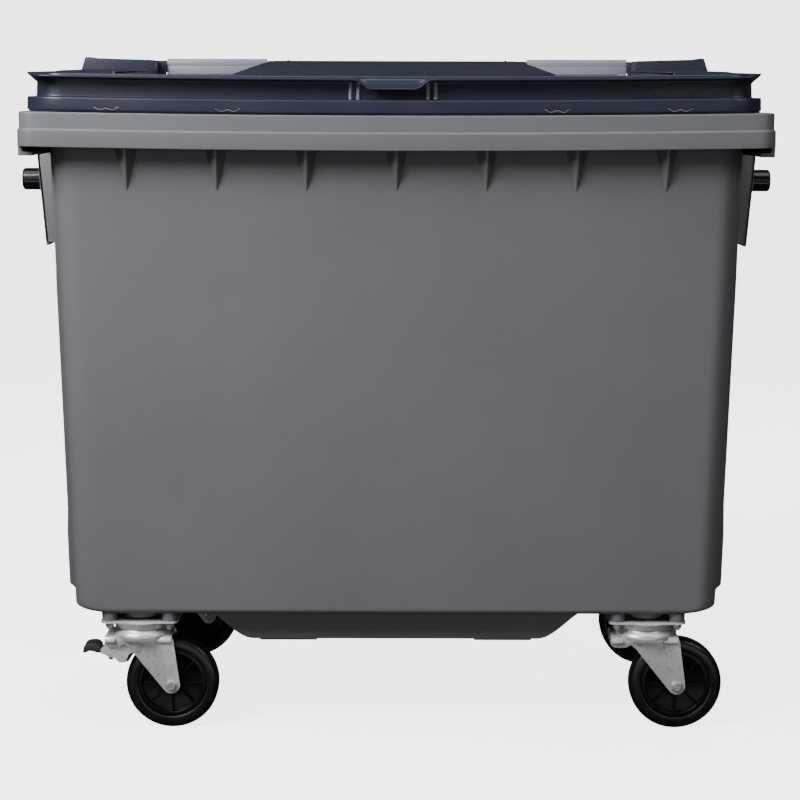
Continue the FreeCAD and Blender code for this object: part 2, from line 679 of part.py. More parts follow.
def handle_screws():
    screws = []
    for x, z in handle_screw_points():
        for side in (-1, 1):
            face = RIM_REAR + 12
            shank = rod(3.0, (side * x, RIM_REAR - 14, z), Y_AXIS, face + 16 - RIM_REAR)
            head = rod(6.0, (side * x, face + 2, z), Y_AXIS, 4)
            screws.append(shank.fuse(head))
    return Part.makeCompound(screws)


# ---------------------------------------------------------------- castors
# Each piece is made with its swivel axis on the Z axis and its wheel trailing towards +X.

def ball_ring(radius, pitch_radius, count, z):
    balls = []
    for index in range(count):
        angle = 2 * math.pi * index / count
        centre = V(pitch_radius * math.cos(angle), pitch_radius * math.sin(angle), z)
        balls.append(Part.makeSphere(radius, centre))
    return balls


def race_groove(radius, pitch_radius, z):
    return Part.makeTorus(pitch_radius, radius + RACE_CLEARANCE, V(0, 0, z), Z_AXIS)


def castor_balls():
    upper = ball_ring(BALL_RADIUS, BALL_PITCH_RADIUS, BALL_COUNT, UPPER_BALL_Z)
    lower = ball_ring(LOWER_BALL_RADIUS, LOWER_BALL_PITCH_RADIUS, LOWER_BALL_COUNT, LOWER_BALL_Z)
    return Part.makeCompound(upper + lower)


def top_plate():
    """Bolted plate with the upper race, whose rolled skirt hangs round the race of the fork."""
    half_x, half_y = 0.5 * PLATE_LENGTH, 0.5 * PLATE_DEPTH
    under = PLATE_TOP - PLATE_THICKNESS
    plate = box(-half_x, half_x, -half_y, half_y, under, PLATE_TOP)
    upright = [edge for edge in plate.Edges if edge.BoundBox.ZLength > 1]
    plate = plate.makeFillet(12, upright)
    dish = Part.makeCone(BALL_PITCH_RADIUS + 13, BALL_PITCH_RADIUS + 17, 11, V(0, 0, under - 11), Z_AXIS)
    well = Part.makeCone(BALL_PITCH_RADIUS + 11, BALL_PITCH_RADIUS + 12, 5, V(0, 0, under - 11), Z_AXIS)
    recess = rod(BALL_PITCH_RADIUS - 10, (0, 0, under - 16), Z_AXIS, 16.5)
    plate = plate.fuse(dish.cut(well)).cut(recess)
    plate = plate.cut(race_groove(BALL_RADIUS, BALL_PITCH_RADIUS, UPPER_BALL_Z))
    holes = [rod(KING_PIN_RADIUS, (0, 0, 150), Z_AXIS, 80)]
    for dx in (-0.5 * BOLT_SPACING_X, 0.5 * BOLT_SPACING_X):
        for dy in (-0.5 * BOLT_SPACING_Y, 0.5 * BOLT_SPACING_Y):
            holes.append(rod(BOLT_RADIUS + 0.2, (dx, dy, 150), Z_AXIS, 80))
    return plate.cut(holes)


def king_pin():
    """Rivet through the swivel head; its lower flange carries the small balls."""
    shank = rod(KING_PIN_RADIUS, (0, 0, LOWER_BALL_Z - 6), Z_AXIS, PLATE_TOP + 2 - LOWER_BALL_Z + 6)
    head = Part.makeCone(13, 8, 5, V(0, 0, PLATE_TOP), Z_AXIS)
    flange = rod(LOWER_BALL_PITCH_RADIUS + 6, (0, 0, LOWER_BALL_Z - 6), Z_AXIS, 5)
    pin = fuse([shank, head, flange])
    return pin.cut(race_groove(LOWER_BALL_RADIUS, LOWER_BALL_PITCH_RADIUS, LOWER_BALL_Z))


def fork_leg(y):
    """One leg plate: a short nose in front, drawn in behind to a round end about the axle."""
    top = BRIDGE_PLATE_Z + FORK_PLATE
    leg = prism([
        (-FORK_NOSE, y, top), (-FORK_NOSE, y, top - 13), (-FORK_NOSE + 9, y, top - 20),
        (-38, y, top - 20), (-18, y, 148), (-5, y, 131.5), (TRAIL - 13, y, WHEEL_RADIUS - 8.5),
        (TRAIL + FORK_EYE_RADIUS - 0.5, y, WHEEL_RADIUS - 3.5), (TRAIL + 2, y, top),
    ], (0, FORK_PLATE, 0))
    return leg.fuse(rod(FORK_EYE_RADIUS, (TRAIL, y, WHEEL_RADIUS), Y_AXIS, FORK_PLATE))


def fork_head():
    """Dished swivel head of the fork, with the lower half of the large race on top."""
    race_low = HEAD_PLATE_Z + FORK_PLATE
    rise = race_low - BRIDGE_PLATE_Z
    race = Part.makeCone(BALL_PITCH_RADIUS + 10, BALL_PITCH_RADIUS + 8, 5, V(0, 0, race_low), Z_AXIS)
    dome = Part.makeCone(BALL_PITCH_RADIUS + 19, BALL_PITCH_RADIUS + 12, rise,
                         V(0, 0, BRIDGE_PLATE_Z), Z_AXIS)
    under = Part.makeCone(BALL_PITCH_RADIUS + 15.5, BALL_PITCH_RADIUS + 10, rise - FORK_PLATE,
                          V(0, 0, BRIDGE_PLATE_Z), Z_AXIS)
    head = race.fuse(dome.cut(under))
    return head.cut(rod(BALL_PITCH_RADIUS - 10, (0, 0, race_low), Z_AXIS, 20))


def fork():
    top = BRIDGE_PLATE_Z + FORK_PLATE
    bridge = box(-FORK_NOSE, TRAIL + 2, -AXLE_REACH, AXLE_REACH, BRIDGE_PLATE_Z, top)
    bridge = bridge.cut(rod(BALL_PITCH_RADIUS - 6, (0, 0, BRIDGE_PLATE_Z - 5), Z_AXIS, 20))
    nose = box(-FORK_NOSE, -FORK_NOSE + FORK_PLATE, -AXLE_REACH, AXLE_REACH, top - 9, top)
    body = fuse([bridge, nose, fork_leg(-AXLE_REACH), fork_leg(0.5 * FORK_GAP), fork_head()])
    body = body.cut(race_groove(BALL_RADIUS, BALL_PITCH_RADIUS, UPPER_BALL_Z))
    body = body.cut(race_groove(LOWER_BALL_RADIUS, LOWER_BALL_PITCH_RADIUS, LOWER_BALL_Z))
    holes = [
        rod(KING_PIN_RADIUS + RUNNING_CLEARANCE, (0, 0, 150), Z_AXIS, 60),
        rod(AXLE_RADIUS, (TRAIL, -60, WHEEL_RADIUS), Y_AXIS, 120),
    ]
    return body.cut(holes)


def axle_bolt():
    shank = rod(AXLE_RADIUS, (TRAIL, -AXLE_REACH, WHEEL_RADIUS), Y_AXIS, 2 * AXLE_REACH + 13)
    washer = rod(10, (TRAIL, -AXLE_REACH - 2, WHEEL_RADIUS), Y_AXIS, 2)
    head = hexagon(14, (TRAIL, -AXLE_REACH - 8, WHEEL_RADIUS), Y_AXIS, 6)
    return fuse([shank, washer, head])


def axle_nut():
    washer = rod(10, (TRAIL, AXLE_REACH, WHEEL_RADIUS), Y_AXIS, 2)
    nut = hexagon(16, (TRAIL, AXLE_REACH + 2, WHEEL_RADIUS), Y_AXIS, 9)
    hole = rod(AXLE_RADIUS, (TRAIL, AXLE_REACH - 1, WHEEL_RADIUS), Y_AXIS, 20)
    return washer.fuse(nut).cut(hole)


def axle_sleeve():
    start = (TRAIL, -0.5 * FORK_GAP, WHEEL_RADIUS)
    return rod(SLEEVE_RADIUS, start, Y_AXIS, FORK_GAP).cut(rod(AXLE_RADIUS, start, Y_AXIS, FORK_GAP))


def turned(profile):
    """Revolve a closed (radius, y) profile about the wheel's axle."""
    points = [V(TRAIL + radius, y, WHEEL_RADIUS) for radius, y in profile]
    face = Part.Face(Part.makePolygon(points + points[:1]))
    return face.revolve(V(TRAIL, 0, WHEEL_RADIUS), Y_AXIS, 360)


def wheel_hub():
    rim_half, boss_half = 0.5 * WHEEL_WIDTH - 2, 0.5 * HUB_LENGTH
    bore = SLEEVE_RADIUS + RUNNING_CLEARANCE
    boss = turned([(bore, -boss_half), (16, -boss_half), (20, -boss_half + 10),
                   (20, boss_half - 10), (16, boss_half), (bore, boss_half)])
    web = turned([(18, -3), (56, -3), (56, 3), (18, 3)])
    rim = turned([(54, -rim_half), (TYRE_INNER_RADIUS, -rim_half),
                  (TYRE_INNER_RADIUS, rim_half), (54, rim_half)])
    spokes = []
    for index in range(HUB_SPOKES):
        spoke = box(TRAIL + 17, TRAIL + 56, -rim_half + 3, rim_half - 3,
                    WHEEL_RADIUS - 1.5, WHEEL_RADIUS + 1.5)
        spoke.rotate(V(TRAIL, 0, WHEEL_RADIUS), Y_AXIS, 360.0 * index / HUB_SPOKES)
        spokes.append(spoke)
    return fuse([boss, web, rim] + spokes)


def tyre():
    half = 0.5 * WHEEL_WIDTH
    shoulder = 5.0
    ring = turned([(TYRE_INNER_RADIUS, -half), (WHEEL_RADIUS - 8, -half),
                   (WHEEL_RADIUS, -half + 11), (WHEEL_RADIUS, half - 11),
                   (WHEEL_RADIUS - 8, half), (TYRE_INNER_RADIUS, half)])
    edges = [edge for edge in ring.Edges
             if edge.BoundBox.YLength < 0.1 and edge.BoundBox.ZLength > 2 * TYRE_INNER_RADIUS + 5]
    return ring.makeFillet(shoulder, edges)


def castor_bolts():
    """Mushroom-headed bolts from inside the tub down through every castor plate."""
    floor = TUB_UNDERSIDE + WALL
    bolts = []
    for castor in CASTORS:
        for x, y in castor_bolt_points(castor):
            low = PLATE_TOP - PLATE_THICKNESS - 12
            shank = rod(BOLT_RADIUS, (x, y, low), Z_AXIS, floor - low)
            bolts.append(shank.fuse(Part.makeCone(9, 6, 4, V(x, y, floor), Z_AXIS)))
    return Part.makeCompound(bolts)


def castor_nuts():
    under_plate = PLATE_TOP - PLATE_THICKNESS
    nuts = []
    for castor in CASTORS:
        for x, y in castor_bolt_points(castor):
            washer = rod(9.5, (x, y, under_plate - 1.5), Z_AXIS, 1.5)
            nut = hexagon(15, (x, y, under_plate - 8), Z_AXIS, 6.5)
            hole = rod(BOLT_RADIUS, (x, y, under_plate - 20), Z_AXIS, 30)
            nuts.append(washer.fuse(nut).cut(hole))
    return Part.makeCompound(nuts)


# ---------------------------------------------------------------- brake
# The lever rocks on a pin between the fork legs and presses its shoe on the tyre.

def brake_pivot_pin():
    pin = rod(BRAKE_PIN_RADIUS, (BRAKE_PIVOT_X, -AXLE_REACH, BRAKE_PIVOT_Z), Y_AXIS, 2 * AXLE_REACH)
    heads = [rod(5.5, (BRAKE_PIVOT_X, y, BRAKE_PIVOT_Z), Y_AXIS, 2)
             for y in (-AXLE_REACH - 2, AXLE_REACH)]
    return fuse([pin] + heads)


def brake_tongue(clearance):
    """Flat end of the lever that the pedal is pushed on to."""
    return box(-92, -62, -14 - clearance, 14 + clearance, 139.5 - clearance, 143 + clearance)


def brake_lever():
    """Two cheeks joined by a bridge, with a tongue for the pedal."""
    half = 27.0
    cheeks = []
    for y in (-half, half - 3):
        outline = prism([
            (-4, y, 154), (-40, y, 160), (-58, y, 155), (-70, y, 146), (-70, y, 137.5),
            (-46, y, 129), (-38, y, 121), (-27, y, 121), (-21, y, 136), (-8, y, 142.5),
        ], (0, 3, 0))
        cheeks.append(outline.fuse(rod(6, (BRAKE_PIVOT_X, y, BRAKE_PIVOT_Z), Y_AXIS, 3)))
    bridge = box(-70, -44, -half, half, 139.5, 143)
    carrier = box(-38, -33, -half, half, 121, 140)
    lever = fuse(cheeks + [bridge, carrier, brake_tongue(0)])
    holes = [
        rod(BRAKE_PIN_RADIUS + RUNNING_CLEARANCE, (BRAKE_PIVOT_X, -40, BRAKE_PIVOT_Z), Y_AXIS, 80),
        rod(4, (-56, 0, 130), Z_AXIS, 20),
    ]
    return lever.cut(holes)


def brake_pedal():
    """Plastic tread over the end of the lever."""
    tread = prism([
        (-71, -19, 148), (-84, -19, 153), (-97, -19, 152), (-101, -19, 148), (-103, -19, 137.5),
        (-97, -19, 137), (-84, -19, 136), (-71, -19, 136),
    ], (0, 38, 0))
    edges = [edge for edge in tread.Edges if edge.BoundBox.YLength < 1]
    return tread.makeFillet(1.5, edges).cut(brake_tongue(0))


def brake_shoe():
    """Rubber pad, hollowed to the curve of the tyre with a small gap at rest."""
    pad = box(-33, -10, -20, 20, 121, 138)
    return pad.cut(rod(WHEEL_RADIUS + BRAKE_GAP, (TRAIL, -40, WHEEL_RADIUS), Y_AXIS, 80))


def brake_screw():
    """Adjusting screw through the bridge of the lever."""
    shank = rod(4, (-56, 0, 120), Z_AXIS, 27)
    return shank.fuse(hexagon(13, (-56, 0, 126), Z_AXIS, 10))


# ---------------------------------------------------------------- assembly

def castor_pieces(castor):
    """Swivelling and rolling pieces of one castor, in place at their resting angle."""
    x, y, angle = CASTORS[castor]
    pieces = {
        "fork": fork(),
        "axle_bolt": axle_bolt(),
        "axle_nut": axle_nut(),
        "axle_sleeve": axle_sleeve(),
        "wheel_hub": wheel_hub(),
        "tyre": tyre(),
    }
    if castor == BRAKED_CASTOR:
        pieces["brake_lever"] = brake_lever()
        pieces["brake_pedal"] = brake_pedal()
        pieces["brake_shoe"] = brake_shoe()
        pieces["brake_screw"] = brake_screw()
        pieces["brake_pivot_pin"] = brake_pivot_pin()
        pieces["fork"] = pieces["fork"].cut(pieces["brake_pivot_pin"])
    for shape in pieces.values():
        shape.rotate(V(0, 0, 0), Z_AXIS, angle)
    pieces["top_plate"] = top_plate()
    pieces["king_pin"] = king_pin()
    pieces["balls"] = castor_balls()
    for shape in pieces.values():
        shape.translate(V(x, y, 0))
    return {castor + "_" + name: shape for name, shape in pieces.items()}


def container():
    pieces = {
        "body_shell": body_shell(),
        "lid": lid(),
        "drain_plug": drain_plug(),
        "drain_seal": drain_seal(),
        "handle_right": rear_handle(),
        "hinge_rod_right": hinge_rod(),
        "trunnion_right": trunnion(),
        "trunnion_screw_right": trunnion_screw(),
        "hinge_rod_caps": hinge_rod_caps(),
        "handle_screws": handle_screws(),
        "castor_bolts": castor_bolts(),
        "castor_nuts": castor_nuts(),
    }
    for name in ("handle", "hinge_rod", "trunnion", "trunnion_screw"):
        pieces[name + "_left"] = mirrored(pieces[name + "_right"])
    for castor in CASTORS:
        pieces.update(castor_pieces(castor))
    return pieces


os.makedirs("parts", exist_ok=True)
for node, shape in container().items():
    shape.exportStep("parts/" + node + ".step")
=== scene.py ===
import json
import math

import bpy
from mathutils import Matrix, Vector


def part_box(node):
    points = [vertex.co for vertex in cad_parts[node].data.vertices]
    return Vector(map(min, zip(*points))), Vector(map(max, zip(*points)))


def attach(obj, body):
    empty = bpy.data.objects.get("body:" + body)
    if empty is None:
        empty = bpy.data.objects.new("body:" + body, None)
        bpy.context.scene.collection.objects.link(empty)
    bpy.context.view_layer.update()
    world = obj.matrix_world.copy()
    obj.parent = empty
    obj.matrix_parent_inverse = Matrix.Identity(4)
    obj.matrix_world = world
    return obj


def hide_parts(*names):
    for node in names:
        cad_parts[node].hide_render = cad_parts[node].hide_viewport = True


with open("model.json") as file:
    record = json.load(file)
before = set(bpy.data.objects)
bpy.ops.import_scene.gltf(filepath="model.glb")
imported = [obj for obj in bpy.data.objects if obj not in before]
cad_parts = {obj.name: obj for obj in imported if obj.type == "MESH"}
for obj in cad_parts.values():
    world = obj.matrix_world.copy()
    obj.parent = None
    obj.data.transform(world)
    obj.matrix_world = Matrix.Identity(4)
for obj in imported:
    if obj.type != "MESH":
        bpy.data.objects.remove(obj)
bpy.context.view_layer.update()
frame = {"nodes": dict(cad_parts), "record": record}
NODES = frame["nodes"]

CASTORS = ("front_left", "front_right", "rear_left", "rear_right")


# -------- material builder

class Shader:
    """Small builder for one procedural material."""

    def __init__(self, name):
        self.material = bpy.data.materials.new(name)
        self.material.use_nodes = True
        self.tree = self.material.node_tree
        self.bsdf = self.tree.nodes["Principled BSDF"]
        self.place = self.node("TexCoord").outputs["Object"]

    def set(self, **values):
        """Uniform values straight on the shader's own sockets."""
        for key, value in values.items():
            self.bsdf.inputs[key.replace("_", " ").title().replace("Ior", "IOR")].default_value = value

    def link(self, output, socket):
        self.tree.links.new(output, socket)

    def feed(self, socket, value):
        """Give an input another node's output, a number or a colour."""
        if isinstance(value, bpy.types.NodeSocket):
            self.link(value, socket)
        elif isinstance(value, (int, float)):
            socket.default_value = value
        else:
            socket.default_value = tuple(value) + (1.0,)

    def node(self, kind, **values):
        """New node with plain values on some of its inputs."""
        node = self.tree.nodes.new("ShaderNode" + kind)
        for socket, value in values.items():
            node.inputs[socket].default_value = value
        return node

    def noise(self, scale, detail=4.0, roughness=0.55, stretch=(1, 1, 1)):
        mapping = self.node("Mapping", Scale=stretch)
        self.link(self.place, mapping.inputs["Vector"])
        node = self.node("TexNoise", Scale=scale, Detail=detail, Roughness=roughness)
        self.link(mapping.outputs["Vector"], node.inputs["Vector"])
        return node.outputs["Fac"]

    def remap(self, factor, low, high, to_low, to_high):
        limits = {"From Min": low, "From Max": high, "To Min": to_low, "To Max": to_high}
        node = self.node("MapRange", **limits)
        self.link(factor, node.inputs["Value"])
        return node.outputs["Result"]

    def mix(self, factor, first, second):
        node = self.node("Mix")
        node.data_type = "RGBA"
        for index, value in ((0, factor), (6, first), (7, second)):
            self.feed(node.inputs[index], value)
        return node.outputs[2]

    def math(self, operation, first, second=0.0):
        node = self.node("Math")
        node.operation = operation
        for socket, value in zip(node.inputs, (first, second)):
            self.feed(socket, value)
        return node.outputs[0]

    def painted_edge_highlight(self, sharpness):
        """Painted highlight mask: 1 on outer edges, where a highlight is painted, 0 elsewhere."""
        node = self.node("NewGeometry")
        return self.remap(node.outputs["Pointiness"], 0.5, 0.5 + 1.0 / sharpness, 0.0, 1.0)

    def bump(self, height, strength, distance):
        node = self.node("Bump", Strength=strength, Distance=distance)
        self.link(height, node.inputs["Height"])
        if self.bsdf.inputs["Normal"].is_linked:
            self.link(self.bsdf.inputs["Normal"].links[0].from_socket, node.inputs["Normal"])
        self.link(node.outputs["Normal"], self.bsdf.inputs["Normal"])

    def cover(self, tone, roughness):
        self.link(tone, self.bsdf.inputs["Base Color"])
        self.link(roughness, self.bsdf.inputs["Roughness"])


# -------- mesh helpers

# Objects are made in metres; sizes and outlines are given in millimetres and scaled by MM.
MM = 0.001


def at(x, y, z):
    return Vector((x, y, z)) * MM


def mm(points):
    return [at(*p) for p in points]


def in_scene(name, data):
    obj = bpy.data.objects.new(name, data)
    bpy.context.scene.collection.objects.link(obj)
    return obj


def new_object(name, vertices, faces, material, sharp_angle=40.0):
    """Smooth-shaded mesh object that keeps edges sharper than the angle, in metres."""
    mesh = bpy.data.meshes.new(name)
    mesh.from_pydata([tuple(v) for v in vertices], [], faces)
    mesh.validate()
    mesh.update()
    for polygon in mesh.polygons:
        polygon.use_smooth = True
    mesh.set_sharp_from_angle(angle=math.radians(sharp_angle))
    mesh.materials.append(material)
    return in_scene(name, mesh)


def loft_faces(rows, count):
    """Quads between rows of points, each row a closed loop of the same count."""
    faces = []
    for start in range(0, (rows - 1) * count, count):
        for i in range(count):
            j = (i + 1) % count
            faces.append([start + i, start + j, start + count + j, start + count + i])
    return faces


def bevel(obj, width, segments=3):
    """Round every sharp edge of a piece by a radius in metres."""
    modifier = obj.modifiers.new("bevel", "BEVEL")
    modifier.width = width
    modifier.segments = segments
    modifier.limit_method = "ANGLE"
    modifier.angle_limit = math.radians(30.0)
    modifier.harden_normals = False
    return obj


def apply_modifiers(obj):
    depsgraph = bpy.context.evaluated_depsgraph_get()
    mesh = bpy.data.meshes.new_from_object(obj.evaluated_get(depsgraph))
    obj.modifiers.clear()
    obj.data = mesh
    return obj


def join(name, objects):
    """One mesh object from several, with their modifiers applied."""
    vertices, faces, slots, materials = [], [], [], []
    for obj in objects:
        apply_modifiers(obj)
        start = len(vertices)
        vertices += [obj.matrix_world @ v.co for v in obj.data.vertices]
        for polygon in obj.data.polygons:
            material = obj.data.materials[polygon.material_index]
            if material not in materials:
                materials.append(material)
            slots.append(materials.index(material))
            faces.append([start + index for index in polygon.vertices])
        bpy.data.objects.remove(obj)
    whole = new_object(name, vertices, faces, materials[0])
    for material in materials[1:]:
        whole.data.materials.append(material)
    for polygon, index in zip(whole.data.polygons, slots):
        polygon.material_index = index
    return whole


def prism(name, outline, direction, material, radius=0.0, segments=3):
    """Closed polygon of points swept along a vector, with rounded edges."""
    count = len(outline)
    shift = Vector(direction)
    low = [Vector(p) for p in outline]
    vertices = low + [p + shift for p in low]
    faces = [list(range(count))[::-1], list(range(count, 2 * count))]
    faces += [[i, (i + 1) % count, count + (i + 1) % count, count + i] for i in range(count)]
    normal = sum(((low[i] - low[0]).cross(low[(i + 1) % count] - low[0]) for i in range(count)), Vector())
    if normal.dot(shift) < 0:
        faces = [face[::-1] for face in faces]
    obj = new_object(name, vertices, faces, material)
    if radius:
        bevel(obj, radius, segments)
    return obj


def block(name, low, high, material, radius=0.0, segments=3):
    """Box between two corners in millimetres, with rounded edges."""
    (x0, y0, z0), (x1, y1, z1) = low, high
    outline = mm([(x0, y0, z0), (x1, y0, z0), (x1, y1, z0), (x0, y1, z0)])
    return prism(name, outline, (0, 0, (z1 - z0) * MM), material, radius * MM, segments)


def swept_back(name, outline, front, rear, material, radius, side=1):
    """(x, z) outline in millimetres, mirrored for side -1, swept from front to rear."""
    points = mm([(side * x, front, z) for x, z in outline])
    return prism(name, points, (0, (rear - front) * MM, 0), material, radius * MM)


def swept_aside(name, outline, side, inner, outer, material, radius, segments=3):
    """(y, z) outline in millimetres, swept outwards on one side."""
    points = mm([(side * inner, y, z) for y, z in outline])
    return prism(name, points, (side * (outer - inner) * MM, 0, 0), material, radius * MM, segments)


def turned(name, profile, centre, axis, material, steps=64, sharp_angle=40.0):
    """Closed (radius, along) profile in millimetres, revolved about an axis through centre."""
    axis = Vector(axis).normalized()
    side = axis.orthogonal().normalized()
    up = axis.cross(side)
    count = len(profile)
    area = sum(profile[i][0] * profile[(i + 1) % count][1] - profile[(i + 1) % count][0] * profile[i][1]
               for i in range(count))
    vertices = []
    for step in range(steps):
        angle = 2 * math.pi * step / steps
        out = side * math.cos(angle) + up * math.sin(angle)
        vertices += [Vector(centre) + (out * r + axis * along) * MM for r, along in profile]
    faces = []
    for step in range(steps):
        here, there = step * count, ((step + 1) % steps) * count
        for i in range(count):
            j = (i + 1) % count
            face = [here + i, there + i, there + j, here + j]
            faces.append(face if area > 0 else face[::-1])
    return new_object(name, vertices, faces, material, sharp_angle)


def disc(name, radius, start, axis, length, material, edge):
    """Solid cylinder with rounded rims along an axis, its sizes in millimetres."""
    profile = [(0.01, 0), (radius - edge, 0), (radius - 0.3 * edge, 0.3 * edge), (radius, edge),
               (radius, length - edge), (radius - 0.3 * edge, length - 0.3 * edge),
               (radius - edge, length), (0.01, length)]
    return turned(name, profile, start, axis, material, 48, 60.0)


def hexagon_head(name, across_flats, start, axis, length, material):
    """Hexagonal head or nut in millimetres, with its corners turned off at both faces."""
    axis = Vector(axis).normalized()
    side = axis.orthogonal().normalized()
    up = axis.cross(side)
    outer = across_flats / math.sqrt(3)
    turn = 0.06 * across_flats
    steps = 36
    vertices = []
    for along, radius in ((0, 0.86 * outer), (turn, outer), (length - turn, outer), (length, 0.86 * outer)):
        for step in range(steps):
            angle = 2 * math.pi * step / steps
            flat = 0.5 * across_flats / math.cos((angle % (math.pi / 3)) - math.pi / 6)
            out = side * math.cos(angle) + up * math.sin(angle)
            vertices.append(Vector(start) + (axis * along + out * min(radius, flat)) * MM)
    faces = [list(range(steps))[::-1], list(range(3 * steps, 4 * steps))] + loft_faces(4, steps)
    return new_object(name, vertices, faces, material, 25.0)


# -------- moulded shells

# Driving dimensions of the mouldings, in millimetres, as the frame has them.
SAG = 6.0
BODY_LOW, BODY_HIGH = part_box("body_shell")
RIM_HALF_WIDTH = 632.5
RIM_FRONT = BODY_LOW[1] / MM
RIM_REAR = BODY_HIGH[1] / MM
RIM_TOP = 1085.0
RIM_STEP = 1056.0
RIM_UNDERSIDE = 1027.0
CENTRE_Y = 0.5 * (RIM_FRONT + RIM_REAR)
TUB_UNDERSIDE = 215.0
WALL = 5.0
FOOT_RUN, FOOT_RISE = 50.0, 15.0
PANEL_PROUD, PANEL_LOW, PANEL_HALF_DEPTH = 13.0, 250.0, 235.0
CORNER_STEPS = 10
TOP_SLOPE = 0.9
GUSSET_PITCH, GUSSET_TOP, GUSSET_FOOT = 151.2, 1050.0, 950.0
TRUNNION_Z = 959.0
BOLT_X, BOLT_Y = (-52.5, 52.5), (-32.5, 32.5)
PLATE_THICKNESS = 4.0
GRIP_LOW, GRIP_HIGH, GRIP_DIP, GRIP_SHIFT = 40.0, 62.0, 15.5, -2.0
TIP_CURL = 4.5


def smooth(value, low, high):
    t = min(max((value - low) / (high - low), 0.0), 1.0)
    return t * t * (3 - 2 * t)


def sag_at(x):
    """How far rim and lid hang below their ends."""
    return SAG * (1 - (x / RIM_HALF_WIDTH) ** 2)


def spread(low, high, count, marks=()):
    """Even values from low to high, with close pairs of extra values round each mark."""
    values = {low + (high - low) * i / count for i in range(count + 1)}
    for mark, reach in marks:
        for offset in (-1.0, -0.6, -0.25, 0.25, 0.6, 1.0):
            if low < mark + offset * reach < high:
                values.add(mark + offset * reach)
    return sorted(values)


class Level:
    """One closed outline of a moulding: a rectangle with round corners, with its height."""

    def __init__(self, half_width, front, rear, corner, z, sag=0.0, slope=0.0, panel=0.0, dip=0.0,
                 curl=0.0):
        self.values = (half_width, front, rear, corner, z, sag, slope, panel, dip, curl)

    def blend(self, other, t):
        return Level(*[a + (b - a) * t for a, b in zip(self.values, other.values)])

    def distance(self, other):
        a, b = self.values, other.values
        across = max(abs(a[0] - b[0]), abs(a[1] - b[1]))
        return math.hypot(across, a[4] - b[4])


def soften(path, steps=4):
    """Round the corners of a profile: path holds (level, radius) pairs."""
    levels = []
    for index, (level, radius) in enumerate(path):
        if radius and 0 < index < len(path) - 1:
            before, after = path[index - 1][0], path[index + 1][0]
            into = level.blend(before, min(0.45, radius / level.distance(before)))
            out = level.blend(after, min(0.45, radius / level.distance(after)))
            for step in range(steps + 1):
                t = step / steps
                levels.append(into.blend(level, t).blend(level.blend(out, t), t))
        else:
            levels.append(level)
    return levels


def outline_points(level, x_values, y_values, slope_front):
    """Points of one level, anticlockwise from above, in metres."""
    half_width, front, rear, corner, z, sag, slope, panel, dip, curl = level.values
    corner = max(corner, 0.5)
    x_end, y_low, y_high = half_width - corner, front + corner, rear - corner
    xs = [x_end * x for x in x_values]
    ys = [y_low + (y_high - y_low) * y for y in y_values]

    def bend(x, y, start):
        """Quarter circle round one corner, from a start angle in degrees."""
        angles = [math.radians(start + 90 * step / CORNER_STEPS) for step in range(CORNER_STEPS)]
        return [(x + corner * math.cos(a), y + corner * math.sin(a), 0.0) for a in angles]

    flat = [(x, front, 0.0) for x in xs[:-1]] + bend(x_end, y_low, -90)
    flat += [(half_width, y, 1.0) for y in ys[:-1]] + bend(x_end, y_high, 0)
    flat += [(x, rear, 0.0) for x in reversed(xs[1:])] + bend(-x_end, y_high, 90)
    flat += [(-half_width, y, -1.0) for y in reversed(ys[1:])] + bend(-x_end, y_low, 180)
    points = []
    for x, y, side in flat:
        lift = slope * math.tan(math.radians(TOP_SLOPE)) * (y - slope_front)
        drop = sag * sag_at(x)
        push = 0.0
        if side and panel:
            edge = abs(y - CENTRE_Y)
            fade = smooth(edge, PANEL_HALF_DEPTH - 4, PANEL_HALF_DEPTH + 4)
            push = side * panel * PANEL_PROUD * (1 - fade)
        if dip and y < front + 1:
            drop += dip * GRIP_DIP * (1 - smooth(abs(x - GRIP_SHIFT), GRIP_LOW - 3, GRIP_HIGH + 3))
        lift += curl * TIP_CURL * smooth(abs(x), FLANGE_HALF - 22, FLANGE_HALF)
        points.append(at(x + push, y, z + lift - drop))
    return points


def swept_shell(name, levels, x_values, y_values, material, slope_front=0.0):
    """Closed moulding through all levels in turn, capped at the first and the last."""
    rows = [outline_points(level, x_values, y_values, slope_front) for level in levels]
    count = len(rows[0])
    vertices = [v for row in rows for v in row]
    faces = loft_faces(len(rows), count)
    for row, sign in ((0, -1), (len(rows) - 1, 1)):
        centre = len(vertices)
        ring = range(row * count, row * count + count)
        middle = sum((vertices[i] for i in ring), Vector()) / count
        vertices.append(middle)
        for i in range(count):
            a, b = row * count + i, row * count + (i + 1) % count
            faces.append([centre, a, b] if sign > 0 else [centre, b, a])
    return new_object(name, vertices, faces, material, 50.0)


# -------- tub

def tub_half_width(z):
    return 562.0 + 21.0 * (z - TUB_UNDERSIDE) / (RIM_TOP - TUB_UNDERSIDE)


def tub_half_depth(z):
    return 285.0 + 37.0 * (z - TUB_UNDERSIDE) / (RIM_TOP - TUB_UNDERSIDE)


def tub_level(z, inset=0.0, foot=0.0, toe=0.0, panel=0.0, corner=38.0, sag=0.0):
    half_depth = tub_half_depth(z) - inset - toe
    return Level(tub_half_width(z) - inset - foot, CENTRE_Y - half_depth, CENTRE_Y + half_depth,
                 max(corner - inset, 4.0), z, sag, panel=panel)


def foot_levels(inset, count=9):
    """Levels of the rounded lower edge, from the flat floor up to the wall."""
    levels = []
    toe_radius = 9.0
    for step in range(count + 1):
        angle = math.radians(90 - 90 * step / count)
        rise = FOOT_RISE * (1 - math.sin(angle))
        run = FOOT_RUN * (1 - math.cos(angle))
        under = max(toe_radius - rise, 0.0)
        toe = toe_radius - math.sqrt(toe_radius ** 2 - under ** 2)
        levels.append(tub_level(TUB_UNDERSIDE + inset + rise, inset, run, toe))
    return levels


